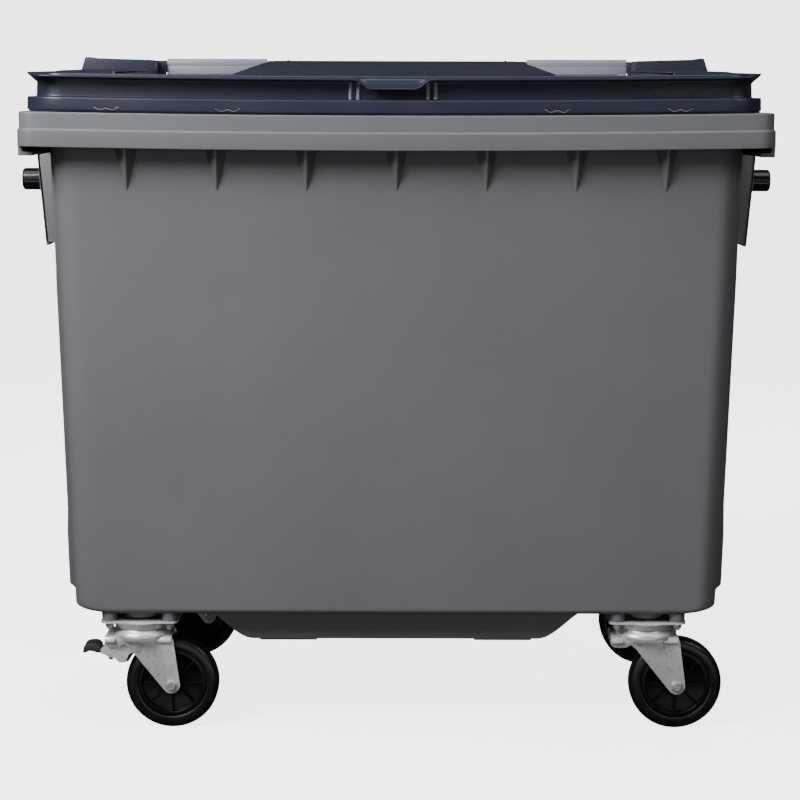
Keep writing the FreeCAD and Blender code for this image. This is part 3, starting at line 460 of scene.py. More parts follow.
def body_tub(material):
    outside = [Level(380, CENTRE_Y - 200, CENTRE_Y + 200, 30, TUB_UNDERSIDE)]
    outside += foot_levels(0.0)
    outside += [tub_level(PANEL_LOW - 3), tub_level(PANEL_LOW, panel=0.12),
                tub_level(PANEL_LOW + 3, panel=0.6), tub_level(PANEL_LOW + 6, panel=0.95),
                tub_level(PANEL_LOW + 9, panel=1.0)]
    outside += [tub_level(z, panel=1.0) for z in range(300, 1000, 50)]
    outside += [tub_level(1022.0, panel=1.0)]
    edge = RIM_HALF_WIDTH

    def rim_level(inset, z):
        return Level(edge - inset, RIM_FRONT + inset, RIM_REAR - inset, 32.0 - inset, z, 1.0)

    rim = soften([
        (tub_level(1060.0, panel=1.0), 0),
        (tub_level(1077.0, panel=1.0, sag=1.0), 8),
        (rim_level(8.0, 1079.0), 4),
        (rim_level(7.0, RIM_UNDERSIDE), 1.2),
        (rim_level(0.0, RIM_UNDERSIDE), 1.6),
        (rim_level(0.3, RIM_STEP - 1.0), 1.4),
        (rim_level(3.2, RIM_STEP + 1.2), 1.2),
        (rim_level(3.2, RIM_TOP), 3.4),
        (tub_level(RIM_TOP, inset=WALL, sag=1.0), 3.0),
        (tub_level(1040.0, inset=WALL, sag=0.3), 0),
    ])
    inside = [tub_level(z, inset=WALL) for z in range(950, 260, -100)]
    inside += foot_levels(WALL)[::-1]
    x_values = spread(-1, 1, 60)
    panel_span = PANEL_HALF_DEPTH / 290.0
    y_values = spread(0, 1, 24, [(0.5 - 0.5 * panel_span, 0.02), (0.5 + 0.5 * panel_span, 0.02)])
    return swept_shell("tub", outside + rim + inside, x_values, y_values, material)


def gussets(material):
    """Tapering stiffeners between the wall and both long sides of the rim, each with a narrow ridge."""
    fins = []
    for side in (-1, 1):
        wall = CENTRE_Y + side * (tub_half_depth(GUSSET_TOP) - 2)
        foot = CENTRE_Y + side * (tub_half_depth(GUSSET_FOOT) - 1)
        rim = CENTRE_Y + side * (0.5 * (RIM_REAR - RIM_FRONT) - 7.5)
        for x in [GUSSET_PITCH * index for index in range(-3, 4)]:
            corners = [(x + dx, y, z) for half, y, z in ((27, wall, GUSSET_TOP), (2.2, rim, GUSSET_TOP),
                                                        (1.2, foot, GUSSET_FOOT)) for dx in (-half, half)]
            faces = [[0, 2, 3, 1], [0, 1, 5, 4], [2, 4, 5, 3], [0, 4, 2], [1, 3, 5]]
            if side > 0:
                faces = [face[::-1] for face in faces]
            fin = new_object("gusset", mm(corners), faces, material, 25.0)
            fins.append(bevel(fin, 0.8 * MM, 2))
    return fins


def side_skirt(side, material):
    """Deeper part of the rim at one side, with its inturned lifting lip."""
    edge, thickness, depth = RIM_HALF_WIDTH, 7.0, 24.0
    outline = [(edge, 1011), (edge, 1031), (edge - thickness, 1031), (edge - thickness, 1018),
               (edge - depth, 1018), (edge - depth, 1011)]
    return swept_back("side_skirt", outline, RIM_FRONT + 32, RIM_REAR - 32, material, 1.4, side)


def trunnion_frame(side, material):
    """Box that stiffens one trunnion socket, open below, with a small tooth at its outer edge."""
    half, root = 55.0, 579.0
    web = [(root, 846), (637, 846), (650, 1000), (650, 1018), (root, 1018)]
    plate = [(632, 846), (632, 841), (637, 841), (650, 1000), (650, 1018), (645, 1018), (645, 1000)]
    cover = [(root, 1013), (650, 1013), (650, 1018), (root, 1018)]
    pieces = [swept_back("web", web, y, y + WALL, material, 1.0, side) for y in (-half, half - WALL)]
    pieces.append(swept_back("plate", plate, -half, half, material, 1.0, side))
    pieces.append(swept_back("cover", cover, -half, half, material, 1.0, side))
    socket = [(18.02, 604), (27, 604), (27, 650.8), (25.8, 652), (19.2, 652), (18.02, 650.8)]
    socket_root = [(0.001, 580), (27, 580), (27, 606), (0.001, 606)]
    for name, profile in (("socket", socket), ("socket_root", socket_root)):
        pieces.append(turned(name, profile, at(0, 0, TRUNNION_Z), (side, 0, 0), material))
    return pieces


def belly(material):
    """Deeper middle of the floor with S-shaped flanks, and its two feet."""
    half_depth = 232.0

    def belly_height(x):
        return 158.0 + 57.5 * smooth(abs(x), 252.0, 352.0)

    xs = sorted({side * x for x in range(250, 356, 7) for side in (-1, 1)} | {0.0})
    outline = [(x, belly_height(x)) for x in xs] + [(352, 218), (-352, 218)]
    pieces = [swept_back("belly", outline, CENTRE_Y - half_depth, CENTRE_Y + half_depth, material, 4.0)]
    for side in (-1, 1):
        low, high = sorted((side * 141.0, side * 245.0))
        pieces.append(block("foot", (low, -190, 139), (high, 150, 160), material, 2.5))
    return pieces


def plan_middle(node):
    """Middle of a node's box seen from above, in metres."""
    low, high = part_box(node)
    return Vector((0.5 * (low[0] + high[0]), 0.5 * (low[1] + high[1]), 0.0))


def plate_top(castor):
    """Middle of a castor plate's upper face, in millimetres."""
    plate = castor + "_top_plate"
    middle = plan_middle(plate)
    return middle.x / MM, middle.y / MM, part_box(plate)[1][2] / MM


def castor_pillars(material):
    """Bolt pillars and webs between the floor and each castor plate."""
    pillar = [(5.2, 0), (12.2, 0), (13, 0.8), (14, 17), (5.2, 17)]
    ring = [(26, 3), (30, 3), (31, 17), (26, 17)]
    up = (0, 0, 1)
    pieces = []
    for castor in CASTORS:
        x, y, z = plate_top(castor)
        for dx in BOLT_X:
            for dy in BOLT_Y:
                pieces.append(turned("pillar", pillar, at(x + dx, y + dy, z), up, material, 32))
            pieces.append(block("web", (x + dx - 3, y + BOLT_Y[0], z), (x + dx + 3, y + BOLT_Y[1], z + 17),
                                material, 0.8))
        pieces.append(turned("ring", ring, at(x, y, z), up, material, 40))
    return pieces


def make_body(material):
    pieces = [body_tub(material)] + gussets(material) + belly(material) + castor_pillars(material)
    for side in (-1, 1):
        pieces.append(side_skirt(side, material))
        pieces += trunnion_frame(side, material)
    body = join("container_body", pieces)
    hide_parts("body_shell")
    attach(body, "container")


# -------- lid

SKIRT_FRONT, SKIRT_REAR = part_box("lid")[0][1] / MM, 338.0
SKIRT_HALF, UPPER_HALF, FLANGE_HALF, PANEL_HALF = 618.0, 602.0, 613.0, 590.0
UPPER_FRONT, UPPER_REAR, FLANGE_REAR = -345.0, 312.0, 330.0
SKIRT_BASE, SKIRT_TOP, FLANGE_TOP, PANEL_RISE = RIM_TOP + 1.0, 1110.0, 1145.5, 8.0
CROWN_HALF, CROWN_RUN, CROWN_TOP, CROWN_START = 249.0, 28.0, 1179.0, -300.0
BAY_INNER, BAY_OUTER, BAY_FRONT = 250.0, 466.5, 296.0
CHANNEL_FRONT, CHANNEL_FLOOR = -338.0, 1145.7
BLOCK_INNER, BLOCK_FRONT, BLOCK_REAR, BLOCK_TOP = 467.0, 262.0, 348.0, 1185.0
HINGE = at(0, 370, 1168)
HANDLE_INNER, HANDLE_OUTER = 259.0, 457.0
# The lid hangs a little to the left, in the play of its hinges.
LID_SHIFT = -4.0
MARK_PLACES, MARK_HALF = (-477, -276, 270, 474), 21.0


def lid_shell(material):
    """Skirt, wall, overhanging flange and top of the lid, as one hollow moulding."""

    def skirt(inset, z):
        return Level(SKIRT_HALF - inset, SKIRT_FRONT + inset, SKIRT_REAR - inset, 66 - inset, z, 1.0)

    def upper(inset, z, slope=0.0, curl=0.0):
        return Level(UPPER_HALF - inset, UPPER_FRONT + inset, UPPER_REAR - inset, 45 - inset, z, 1.0, slope,
                     curl=curl)

    def flange(inset, z, dip=1.0, curl=0.0):
        return Level(FLANGE_HALF - inset, SKIRT_FRONT + inset, FLANGE_REAR - inset, 42 - inset, z, 1.0, 1.0,
                     dip=dip, curl=curl)

    def panel(inset, z):
        return Level(PANEL_HALF - inset, SKIRT_FRONT + 34 + inset, FLANGE_REAR - 12 - inset,
                     max(45 - inset, 6), z, 1.0, 1.0)

    top = FLANGE_TOP + PANEL_RISE
    wall = 4.0
    path = [
        (panel(300, top - wall), 0),
        (upper(wall, top - wall, 1.0), 4),
        (upper(wall, SKIRT_TOP - wall), 3),
        (skirt(wall, SKIRT_TOP - wall), 2),
        (skirt(wall, SKIRT_BASE), 0.8),
        (skirt(2.2, SKIRT_BASE), 0.5),
        (skirt(2.0, SKIRT_BASE + 2.2), 0.5),
        (skirt(0, SKIRT_BASE + 2.4), 1.2),
        (skirt(0.6, SKIRT_TOP), 3.0),
        (upper(-1.0, SKIRT_TOP + 0.5), 2.5),
        (upper(0, FLANGE_TOP - 5.5, 1.0, curl=-2.8), 3.0),
        (flange(0.3, FLANGE_TOP - 3.0, curl=1.0), 1.0),
        (flange(0, FLANGE_TOP, curl=1.0), 1.8),
        (flange(14, FLANGE_TOP), 3.0),
        (flange(21, FLANGE_TOP), 3.0),
        (flange(26, FLANGE_TOP, dip=0.0), 2.0),
        (panel(0, FLANGE_TOP), 4.0),
        (panel(24, top), 10.0),
        (panel(60, top), 0),
        (panel(180, top), 0),
        (panel(310, top), 0),
    ]
    marks = [((GRIP_SHIFT + sign * 51.0) / SKIRT_HALF, 14.0 / SKIRT_HALF) for sign in (-1, 1)]
    marks += [(sign * 600.0 / SKIRT_HALF, 16.0 / SKIRT_HALF) for sign in (-1, 1)]
    x_values = spread(-1, 1, 80, marks)
    return swept_shell("lid_shell", soften(path), x_values, spread(0, 1, 24), material, SKIRT_FRONT)


def channel_floor(x):
    return CHANNEL_FLOOR - sag_at(x)


def cut_handle_bays(shell):
    """Open the rear of the lid where the two handles stand, and lower the top in front of them."""
    look = shell.data.materials[0]
    inner = BAY_INNER + 2
    xs = [inner + (BAY_OUTER - inner) * i / 6 for i in range(7)]
    channel = [(x, channel_floor(x) - 2) for x in xs] + [(BAY_OUTER, 1200), (inner, 1200)]
    cutters = []
    for side in (-1, 1):
        low, high = sorted((side * BAY_INNER, side * BAY_OUTER))
        cutters.append(block("bay", (low, BAY_FRONT, 1060), (high, 420, 1240), look))
        cutters.append(swept_back("channel", channel, CHANNEL_FRONT, BAY_FRONT + 4, look, 0, side))
    for cutter in cutters:
        modifier = shell.modifiers.new("bay", "BOOLEAN")
        modifier.operation = "DIFFERENCE"
        modifier.solver = "MANIFOLD"
        modifier.object = cutter
    apply_modifiers(shell)
    for cutter in cutters:
        bpy.data.objects.remove(cutter)


def bay_walls(material):
    """Floor of the channel before each handle, and the walls that close the lid round its bay."""
    xs = [BAY_INNER + (BAY_OUTER + 3 - BAY_INNER) * i / 6 for i in range(7)]
    floor = [(x, channel_floor(x)) for x in xs]
    floor += [(x, z - 4) for x, z in floor[::-1]]
    top = FLANGE_TOP + PANEL_RISE - 3.2
    climb = math.tan(math.radians(TOP_SLOPE))
    wall = [(CHANNEL_FRONT + 3, FLANGE_TOP - 5), (BAY_FRONT, FLANGE_TOP - 5),
            (BAY_FRONT, top + climb * (BAY_FRONT - SKIRT_FRONT)),
            (CHANNEL_FRONT + 6, top + climb * (CHANNEL_FRONT - SKIRT_FRONT))]
    front, rear = CHANNEL_FRONT - 3, BAY_FRONT - 2
    pieces = []
    for side in (-1, 1):
        pieces.append(swept_back("channel_floor", floor, front, rear, material, 0.8, side))
        pieces.append(swept_aside("channel_wall", wall, side, BAY_OUTER, BAY_OUTER + 4, material, 1.0))
        walls = ((BAY_INNER - 4, BAY_OUTER + 4, BAY_FRONT, 1084, 1151),
                 (BAY_INNER - 4, BAY_INNER, UPPER_REAR, 1085, 1150),
                 (BAY_OUTER, BAY_OUTER + 4, UPPER_REAR, 1085, 1150))
        for inner, outer, end, foot, head in walls:
            low, high = sorted((side * inner, side * outer))
            pieces.append(block("bay_wall", (low, BAY_FRONT - 4, foot), (high, end, head), material, 1.2))
    return pieces


def lid_crown(material):
    """Raised middle of the lid, rising to the hinge, with sloped sides that steepen between the handles."""
    rear = 348.0
    base = FLANGE_TOP - 8
    stations = [CROWN_START + (180 - CROWN_START) * t / 12 for t in range(13)]
    stations += [190, 198, 207, 216, 224, 260, rear - 60, rear - 45, rear - 25, rear - 8, rear - 2.5, rear]
    rows = []
    for y in stations:
        climb = smooth(y, CROWN_START - 150, rear - 20)
        straight = min((y - CROWN_START) / (rear - 60 - CROWN_START), 1.0)
        top = FLANGE_TOP + 4 + (CROWN_TOP - FLANGE_TOP - 4) * (0.75 * straight + 0.25 * climb)
        top = min(top, CROWN_TOP) - 6 * smooth(y, rear - 10, rear + 2)
        rise = top - base
        foot = CROWN_HALF + CROWN_RUN - (CROWN_RUN - 4) * smooth(y, 180, 224)
        run = (foot - CROWN_HALF) * rise / (CROWN_TOP - base)
        half = foot - run
        side = [(-half - run, base), (-half - 0.25 * run, base + 0.8 * rise),
                (-half + 2, base + 0.95 * rise), (-half + 8, top - 0.4)]
        row = side + [(x * (half - 16) / 5, top) for x in range(-5, 6)] + [(-x, z) for x, z in side[::-1]]
        rows.append(mm([(x, y, z) for x, z in row]))
    count = len(rows[0])
    vertices = [v for row in rows for v in row]
    faces = loft_faces(len(rows), count)
    faces.append(list(range(count))[::-1])
    faces.append(list(range((len(rows) - 1) * count, len(rows) * count)))
    return new_object("crown", vertices, faces, material, 50.0)


def corner_blocks(material):
    """Raised ends of the lid outside the handles, each with a nub at its outer top edge."""
    base = FLANGE_TOP - 10
    outline = [(BLOCK_INNER, base), (618, base), (603, BLOCK_TOP - 3), (602, BLOCK_TOP), (593, BLOCK_TOP),
               (590, BLOCK_TOP - 2), (BLOCK_INNER + 3, BLOCK_TOP - 5.5), (BLOCK_INNER, BLOCK_TOP - 9)]
    return [swept_back("corner_block", outline, BLOCK_FRONT, BLOCK_REAR, material, 2.2, side)
            for side in (-1, 1)]


def hinge_eyes(material):
    """Four eyes of the lid round the hinge rods, each reaching up to the handle, on a short arm."""
    width, gap = 24.0, 1.5
    arm = [(345, 1146), (366, 1157), (360, 1164), (360, 1176), (345, 1176)]
    pieces = []
    for side in (-1, 1):
        shift = side * LID_SHIFT
        for inner, outer in ((CROWN_HALF - width, HANDLE_INNER - gap - shift),
                             (HANDLE_OUTER + gap - shift, BLOCK_INNER + width)):
            eye = [(10.05, inner), (11.0, inner), (11.7, inner + 0.7), (11.7, outer - 0.7), (11.0, outer),
                   (10.05, outer)]
            pieces.append(turned("eye", eye, HINGE, (side, 0, 0), material))
            pieces.append(swept_aside("arm", arm, side, inner, outer, material, 1.2))
    return pieces


def grip_ribs(material):
    """Pairs of upright beads beside the front grip, in a pale material that is a painted highlight."""
    profile = [(0.01, 0), (2.0, 0.6), (3.4, 3), (3.0, 28), (1.8, 30.5), (0.01, 31.4)]
    pieces = []
    for offset in (-71, -58, 58, 71):
        base = at(GRIP_SHIFT + offset, UPPER_FRONT, SKIRT_TOP - SAG)
        pieces.append(turned("bead", profile, base, (0, 0, 1), material, 24))
    return pieces


def skirt_marks(material, groove):
    """W-shaped marks at the lower edge of the skirt: a dark line of painted shade over a pale line of
    painted light, standing for the shaded upper and lit lower walls of a W-shaped groove.
    """
    pieces = []
    # The dark row is painted shade, the pale row painted light.
    rows = ((2.0, 1.2, groove), (-0.6, 0.5, material))
    for x, (rise, radius, look) in [(x, row) for x in MARK_PLACES for row in rows]:
        base = SKIRT_BASE + 4.0 + rise - sag_at(x)
        points = []
        for step in range(25):
            t = -1 + step / 12
            lift = 3.6 * math.cos(math.pi * t) ** 2 + 1.8 * t * t
            points.append(at(x + MARK_HALF * t, SKIRT_FRONT - 0.1, base + lift))
        curve = bpy.data.curves.new("mark", "CURVE")
        curve.dimensions = "3D"
        curve.bevel_depth = radius * MM
        curve.bevel_resolution = 2
        curve.use_fill_caps = True
        spline = curve.splines.new("POLY")
        spline.points.add(len(points) - 1)
        for target, point in zip(spline.points, points):
            target.co = (*point, 1.0)
        obj = in_scene("mark", curve)
        mesh = bpy.data.meshes.new_from_object(obj)
        bpy.data.objects.remove(obj)
        mesh.materials.clear()
        pieces.append(new_object("mark", [v.co.copy() for v in mesh.vertices],
                                 [list(p.vertices) for p in mesh.polygons], look))
    return pieces


# The second material is a dark painted shade and the third a pale painted light, for the W marks and the
# beads.
def make_lid(material, groove, painted_light):
    shell = lid_shell(material)
    cut_handle_bays(shell)
    pieces = [shell, lid_crown(material)] + bay_walls(material) + corner_blocks(material)
    pieces += hinge_eyes(material) + grip_ribs(painted_light) + skirt_marks(painted_light, groove)
    lid = join("container_lid", pieces)
    for vertex in lid.data.vertices:
        vertex.co.x += LID_SHIFT * MM
    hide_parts("lid")
    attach(lid, "lid")


# -------- rear handles

def handle_section():
    """Section of a grip: flat in front with round corners and a fine seam, measured from the hinge."""
    front, rear, low, high = -15.0, 15.0, -18.5, 15.5
    section = []
    for cy, cz, radius, first in ((front + 6, low + 6, 6, 180), (rear - 9, low + 9, 9, 270),
                                  (rear - 9, high - 9, 9, 0), (front + 6, high - 6, 6, 90)):
        for step in range(7):
            angle = math.radians(first + 15 * step)
            section.append((cy + radius * math.cos(angle), cz + radius * math.sin(angle)))
    return section + [(front, 2.4), (front + 0.9, 1.8), (front, 1.2)]


def rear_handle(side, material):
    """One grip with its two legs down to the back of the rim."""
    back, leg_width = RIM_REAR, 18.0
    y, z = HINGE.y / MM, HINGE.z / MM
    grip = [(y + dy, z + dz) for dy, dz in handle_section()]
    leg = [(back, 1032), (back + 12, 1032), (back + 14, RIM_TOP), (y + 13, z - 6), (y - 12, z + 7),
           (back, RIM_TOP + 6)]
    pieces = [swept_aside("grip", grip, side, HANDLE_INNER, HANDLE_OUTER, material, 1.0, 2)]
    for x in (HANDLE_INNER, HANDLE_OUTER - leg_width):
        pieces.append(swept_aside("leg", leg, side, x, x + leg_width, material, 1.6))
    name = "handle_right" if side > 0 else "handle_left"
    handle = join(name + "_moulding", pieces)
    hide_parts(name)
    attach(handle, "container")


# -------- castors
# Each castor's pieces are made about its own swivel axis, wheel towards +X, then turned into place.

TRAIL = 54.0
AXLE_Z = 82.0
FORK_GAP, FORK_PLATE = 60.0, 3.5
BRIDGE_Z = 168.0
BRIDGE_TOP = BRIDGE_Z + FORK_PLATE


def castor_place(castor):
    """Swivel axis and resting angle of a castor, read from its plate and axle in the frame."""
    axis = plan_middle(castor + "_king_pin")
    trail = plan_middle(castor + "_tyre") - axis
    return axis, math.atan2(trail.y, trail.x)


def settle(obj, castor):
    """Turn a finished piece about the swivel axis and move it to its castor."""
    axis, angle = castor_place(castor)
    c, s = math.cos(angle), math.sin(angle)
    for vertex in obj.data.vertices:
        x, y, z = vertex.co
        vertex.co = (axis.x + c * x - s * y, axis.y + s * x + c * y, z)
    obj.data.update()
    return obj


def arc(centre, radius, start, end, steps):
    """Points (x, z) on a circle, angles in degrees."""
    points = []
    for step in range(steps + 1):
        angle = math.radians(start + (end - start) * step / steps)
        points.append((centre[0] + radius * math.cos(angle), centre[1] + radius * math.sin(angle)))
    return points


def leg_outline():
    """One fork leg seen from the side: a round ear in front, drawn in behind to the axle's eye."""
    outline = [(-62, BRIDGE_TOP), (-62.5, 162)]
    outline += arc((-53, 160), 9, 190, 262, 5)
    outline += arc((-40, 165.5), 14.5, 270, 322, 4)
    outline += [(-18, 148), (-5, 131.5)]
    outline += arc((TRAIL, AXLE_Z), 15.5, 218, 366, 12)
    outline += [(TRAIL + 4.5, BRIDGE_TOP - 9), (TRAIL + 1.5, BRIDGE_TOP)]
    return outline


def bent_lip(start, end, side, width, material):
    """Piece of the bridge that bulges outwards before it turns down into a leg."""
    outline = [(width - 4, BRIDGE_TOP)]
    outline += [(width - 3 + 8.5 * math.sin(math.radians(a)), 163 + 8.5 * math.cos(math.radians(a)))
                for a in range(0, 121, 12)]
    outline += [(width, 157), (width - 4, 157)]
    return swept_aside("lip", [(side * y, z) for y, z in outline], 1, start, end, material, 1.2)


def fork_pieces(material):
    """Two legs, the bridge over the wheel with its bent lips, and the dome of the swivel head."""
    half = 0.5 * FORK_GAP
    width = half + FORK_PLATE
    leg = [(x, min(z, BRIDGE_TOP - 1)) for x, z in leg_outline()]
    pieces = [swept_back("leg", leg, y, y + FORK_PLATE, material, 0.9) for y in (-width, half)]
    pieces.append(block("bridge", (-61, 3 - width, BRIDGE_Z), (TRAIL + 1.5, width - 3, BRIDGE_TOP),
                        material, 1.4))
    nose = [(-58, BRIDGE_TOP), (-62, BRIDGE_TOP - 4), (-62, BRIDGE_TOP - 18), (-59, BRIDGE_TOP - 18),
            (-57, BRIDGE_TOP - 5)]
    pieces.append(swept_back("nose", nose, 6 - width, width - 6, material, 0.9))
    dome = [(24, -0.5), (50, 0), (52.4, 0.8), (53, 2.8), (52.2, 6.5), (49.6, 10), (45.5, 12.6), (43.5, 17),
            (38.6, 18), (37.6, 16.6), (34, 15.8), (30.4, 16.6), (29.4, 18), (24, 18)]
    centre = at(0, 0, BRIDGE_Z)
    pieces.append(turned("dome", dome, centre, (0, 0, 1), material, 72, 70.0))
    for side in (-1, 1):
        for start, end in ((-61.5, -43), (TRAIL - 25, TRAIL + 1.5)):
            pieces.append(bent_lip(start, end, side, width, material))
    return pieces


def wheel_ring(name, half, material):
    """Ring about the axle, from the (radius, along) profile of one half."""
    profile = [(r, -y) for r, y in half] + half[::-1]
    return turned(name, profile, at(TRAIL, 0, AXLE_Z), (0, 1, 0), material, 96)


def tyre_half():
    """Solid tyre: flat tread, round shoulders, a step and a groove in each side wall."""
    side = [(61, 18.6), (62.5, 19.6), (64.6, 19.6), (65.2, 18.7), (66.6, 18.7), (67.2, 19.9), (72, 19.6)]
    side += [(71 + 10.9 * math.sin(math.radians(a)), 8.6 + 11 * math.cos(math.radians(a)))
             for a in range(14, 91, 10)]
    return side + [(82, 5)]


def hub_pieces(material):
    """Boss, web, rim and eight ribs on each face of the wheel's centre."""
    pieces = []
    boss = [(9.05, 28), (14, 28), (15, 27.2), (16, 22), (19.6, 19), (20.4, 16)]
    web = [(18, 3), (52, 3), (54.5, 4.5)]
    rim = [(54.5, 4), (53, 16.6), (54, 17.6), (60, 17.6), (60.9, 17)]
    for name, half in (("boss", boss), ("web", web), ("rim", rim)):
        pieces.append(wheel_ring(name, half, material))
    for index in range(8):
        turn = 2 * math.pi * index / 8
        for side in (-1, 1):
            rib = [(18, side * 1, -1.2), (56, side * 1, -1.2), (56, side * 14.5, -1.2),
                   (22, side * 16, -1.2), (18, side * 16, -1.2)]
            obj = prism("rib", mm(rib), (0, 0, 2.4 * MM), material, 0.7 * MM, 2)
            for vertex in obj.data.vertices:
                x, y, z = vertex.co
                vertex.co = (TRAIL * MM + x * math.cos(turn) + z * math.sin(turn), y,
                             AXLE_Z * MM - x * math.sin(turn) + z * math.cos(turn))
            pieces.append(obj)
    return pieces


def axle_pieces(head_side, material):
    """Washer and hexagon at one end of the axle: its head in front, its nut behind."""
    reach = 0.5 * FORK_GAP + FORK_PLATE
    start = at(TRAIL, head_side * reach, AXLE_Z)
    along = Vector((0, head_side, 0))
    washer = disc("washer", 10, start, along, 2, material, 0.6)
    length, across = (6, 14) if head_side < 0 else (9, 16)
    head = hexagon_head("hexagon", across, start + along * 2 * MM, along, length, material)
    return [washer, head]


def place(name, pieces, castor, nodes, body):
    whole = settle(join(name, pieces), castor)
    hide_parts(*nodes)
    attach(whole, body)


def brake_pedal_pieces(material):
    """Ribbed tread of the brake, hooked down at its outer end."""
    outline = [(-71.5, 146), (-75, 150), (-81, 152.6), (-89, 152.8), (-96, 151.6), (-100.5, 149),
               (-102.6, 144), (-103, 137.5), (-101, 136.3), (-96.5, 137.2), (-92, 139.6), (-86, 139),
               (-78, 136.4), (-71.5, 136)]
    tread = swept_back("tread", outline, -19, 19, material, 1.4)
    ribs = [block("rib", (x - 0.9, -15, 151), (x + 0.9, 15, 153), material, 0.4, 2)
            for x in (-80, -84, -88, -92)]
    return [tread] + ribs


def make_castor(castor, looks):
    swivel, wheel = castor + "_swivel", castor + "_wheel"
    place(castor + "_fork_pressing", fork_pieces(looks["zinc_sheet"]), castor,
          [castor + "_fork"], swivel)
    place(castor + "_tyre_moulding", [wheel_ring("tyre", tyre_half(), looks["tyre_rubber"])], castor,
          [castor + "_tyre"], wheel)
    place(castor + "_hub_moulding", hub_pieces(looks["wheel_plastic"]), castor,
          [castor + "_wheel_hub"], wheel)
    reach = 0.5 * FORK_GAP + FORK_PLATE
    start = at(TRAIL, -reach, AXLE_Z)
    shank = disc("shank", 6, start, (0, 1, 0), 2 * reach + 13, looks["zinc_hardware"], 0.8)
    place(castor + "_axle", axle_pieces(-1, looks["zinc_hardware"]) + [shank], castor,
          [castor + "_axle_bolt"], swivel)
    place(castor + "_axle_locknut", axle_pieces(1, looks["zinc_hardware"]), castor,
          [castor + "_axle_nut"], swivel)
    if castor + "_brake_pedal" in NODES:
        place(castor + "_pedal_tread", brake_pedal_pieces(looks["pedal_plastic"]), castor,
              [castor + "_brake_pedal"], "brake_lever")


def plate_nuts(looks):
    """Washers and nuts below the castor plates, four to each castor."""
    down = Vector((0, 0, -1))
    steel = looks["yellow_zinc"]
    pieces = []
    for castor in CASTORS:
        x, y, z = plate_top(castor)
        for dx in BOLT_X:
            for dy in BOLT_Y:
                start = at(x + dx, y + dy, z - PLATE_THICKNESS)
                pieces.append(disc("washer", 9.5, start, down, 1.5, steel, 0.3))
                pieces.append(hexagon_head("nut", 14.5, start + 1.5 * MM * down, down, 6.5, steel))
    nuts = join("plate_nuts", pieces)
    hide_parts("castor_nuts")
    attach(nuts, "container")


# -------- materials

def moulded_plastic(name, colour, roughness, mottle=0.06, streaks=0.05, grain=0.25, scuff=0.0, gloss=0.45):
    """Injection-moulded polyethylene: slow tone changes, faint flow marks, fine grain, light scuffs and a
    painted highlight on outer edges.
    """
    look = Shader(name)
    dark = [c * (1 - mottle) for c in colour]
    light = [min(c * (1 + mottle), 1.0) for c in colour]
    tone = look.mix(look.remap(look.noise(2.6, 3.0), 0.3, 0.7, 0.0, 1.0), dark, light)
    flow = look.remap(look.noise(9.0, 5.0, 0.6, stretch=(1.0, 1.0, 0.08)), 0.35, 0.7, 0.0, streaks)
    tone = look.mix(flow, tone, [min(c * 1.35, 1.0) for c in colour])
    if scuff:
        scrape = look.noise(38.0, 8.0, 0.7, stretch=(0.25, 1.0, 2.6))
        patch = look.remap(look.noise(5.0, 2.0), 0.5, 0.7, 0.0, 1.0)
        marks = look.math("MULTIPLY", look.remap(scrape, 0.62, 0.74, 0.0, scuff), patch)
        tone = look.mix(marks, tone, [min(c * 3.0 + 0.05, 1.0) for c in colour])
    # Outer edges are painted lighter: a painted highlight.
    painted_light = look.math("MULTIPLY", look.painted_edge_highlight(6.0), 0.30)
    tone = look.mix(painted_light, tone, [min(c * 1.6 + 0.01, 1.0) for c in colour])
    look.cover(tone, look.remap(look.noise(14.0, 4.0), 0.3, 0.7, roughness - 0.05, roughness + 0.07))
    look.bump(look.noise(1400.0, 2.0), grain, 0.00012)
    look.bump(look.noise(6.0, 2.0), 0.25, 0.0012)
    look.set(specular_ior_level=gloss)
    return look.material


def plated_steel(name, colour, roughness, tint=(0.75, 0.74, 0.66), metallic=1.0):
    """Zinc-plated steel: cloudy passivation, fine rolling marks and small dull spots."""
    look = Shader(name)
    cloud = look.remap(look.noise(45.0, 5.0, 0.6), 0.35, 0.68, 0.0, 1.0)
    tone = look.mix(cloud, colour, [c * t for c, t in zip(colour, tint)])
    spots = look.remap(look.noise(90.0, 3.0, 0.5), 0.5, 0.85, 0.0, 0.18)
    tone = look.mix(spots, tone, [c * 0.75 for c in colour])
    look.cover(tone, look.remap(look.noise(120.0, 4.0), 0.3, 0.7, roughness - 0.08, roughness + 0.14))
    look.set(metallic=metallic)
    return look.material


def rubber(name, colour, roughness, dust=0.12):
    """Solid rubber with a dusty bloom and a fine pebbled skin."""
    look = Shader(name)
    bloom = look.remap(look.noise(22.0, 6.0, 0.65), 0.45, 0.75, 0.0, dust)
    tone = look.mix(bloom, colour, (0.030, 0.029, 0.028))
    look.cover(tone, look.remap(look.noise(60.0, 4.0), 0.3, 0.7, roughness - 0.08, roughness + 0.1))
    look.bump(look.noise(900.0, 2.0), 0.3, 0.00015)
    look.set(specular_ior_level=0.4)
    return look.material


def polished_steel(name):
    look = Shader(name)
    cloud = look.remap(look.noise(150.0, 3.0), 0.4, 0.7, 0.0, 1.0)
    tone = look.mix(cloud, (0.55, 0.55, 0.57), (0.42, 0.42, 0.43))
    look.cover(tone, look.remap(look.noise(300.0, 3.0), 0.3, 0.7, 0.12, 0.25))
    look.set(metallic=1.0)
    return look.material


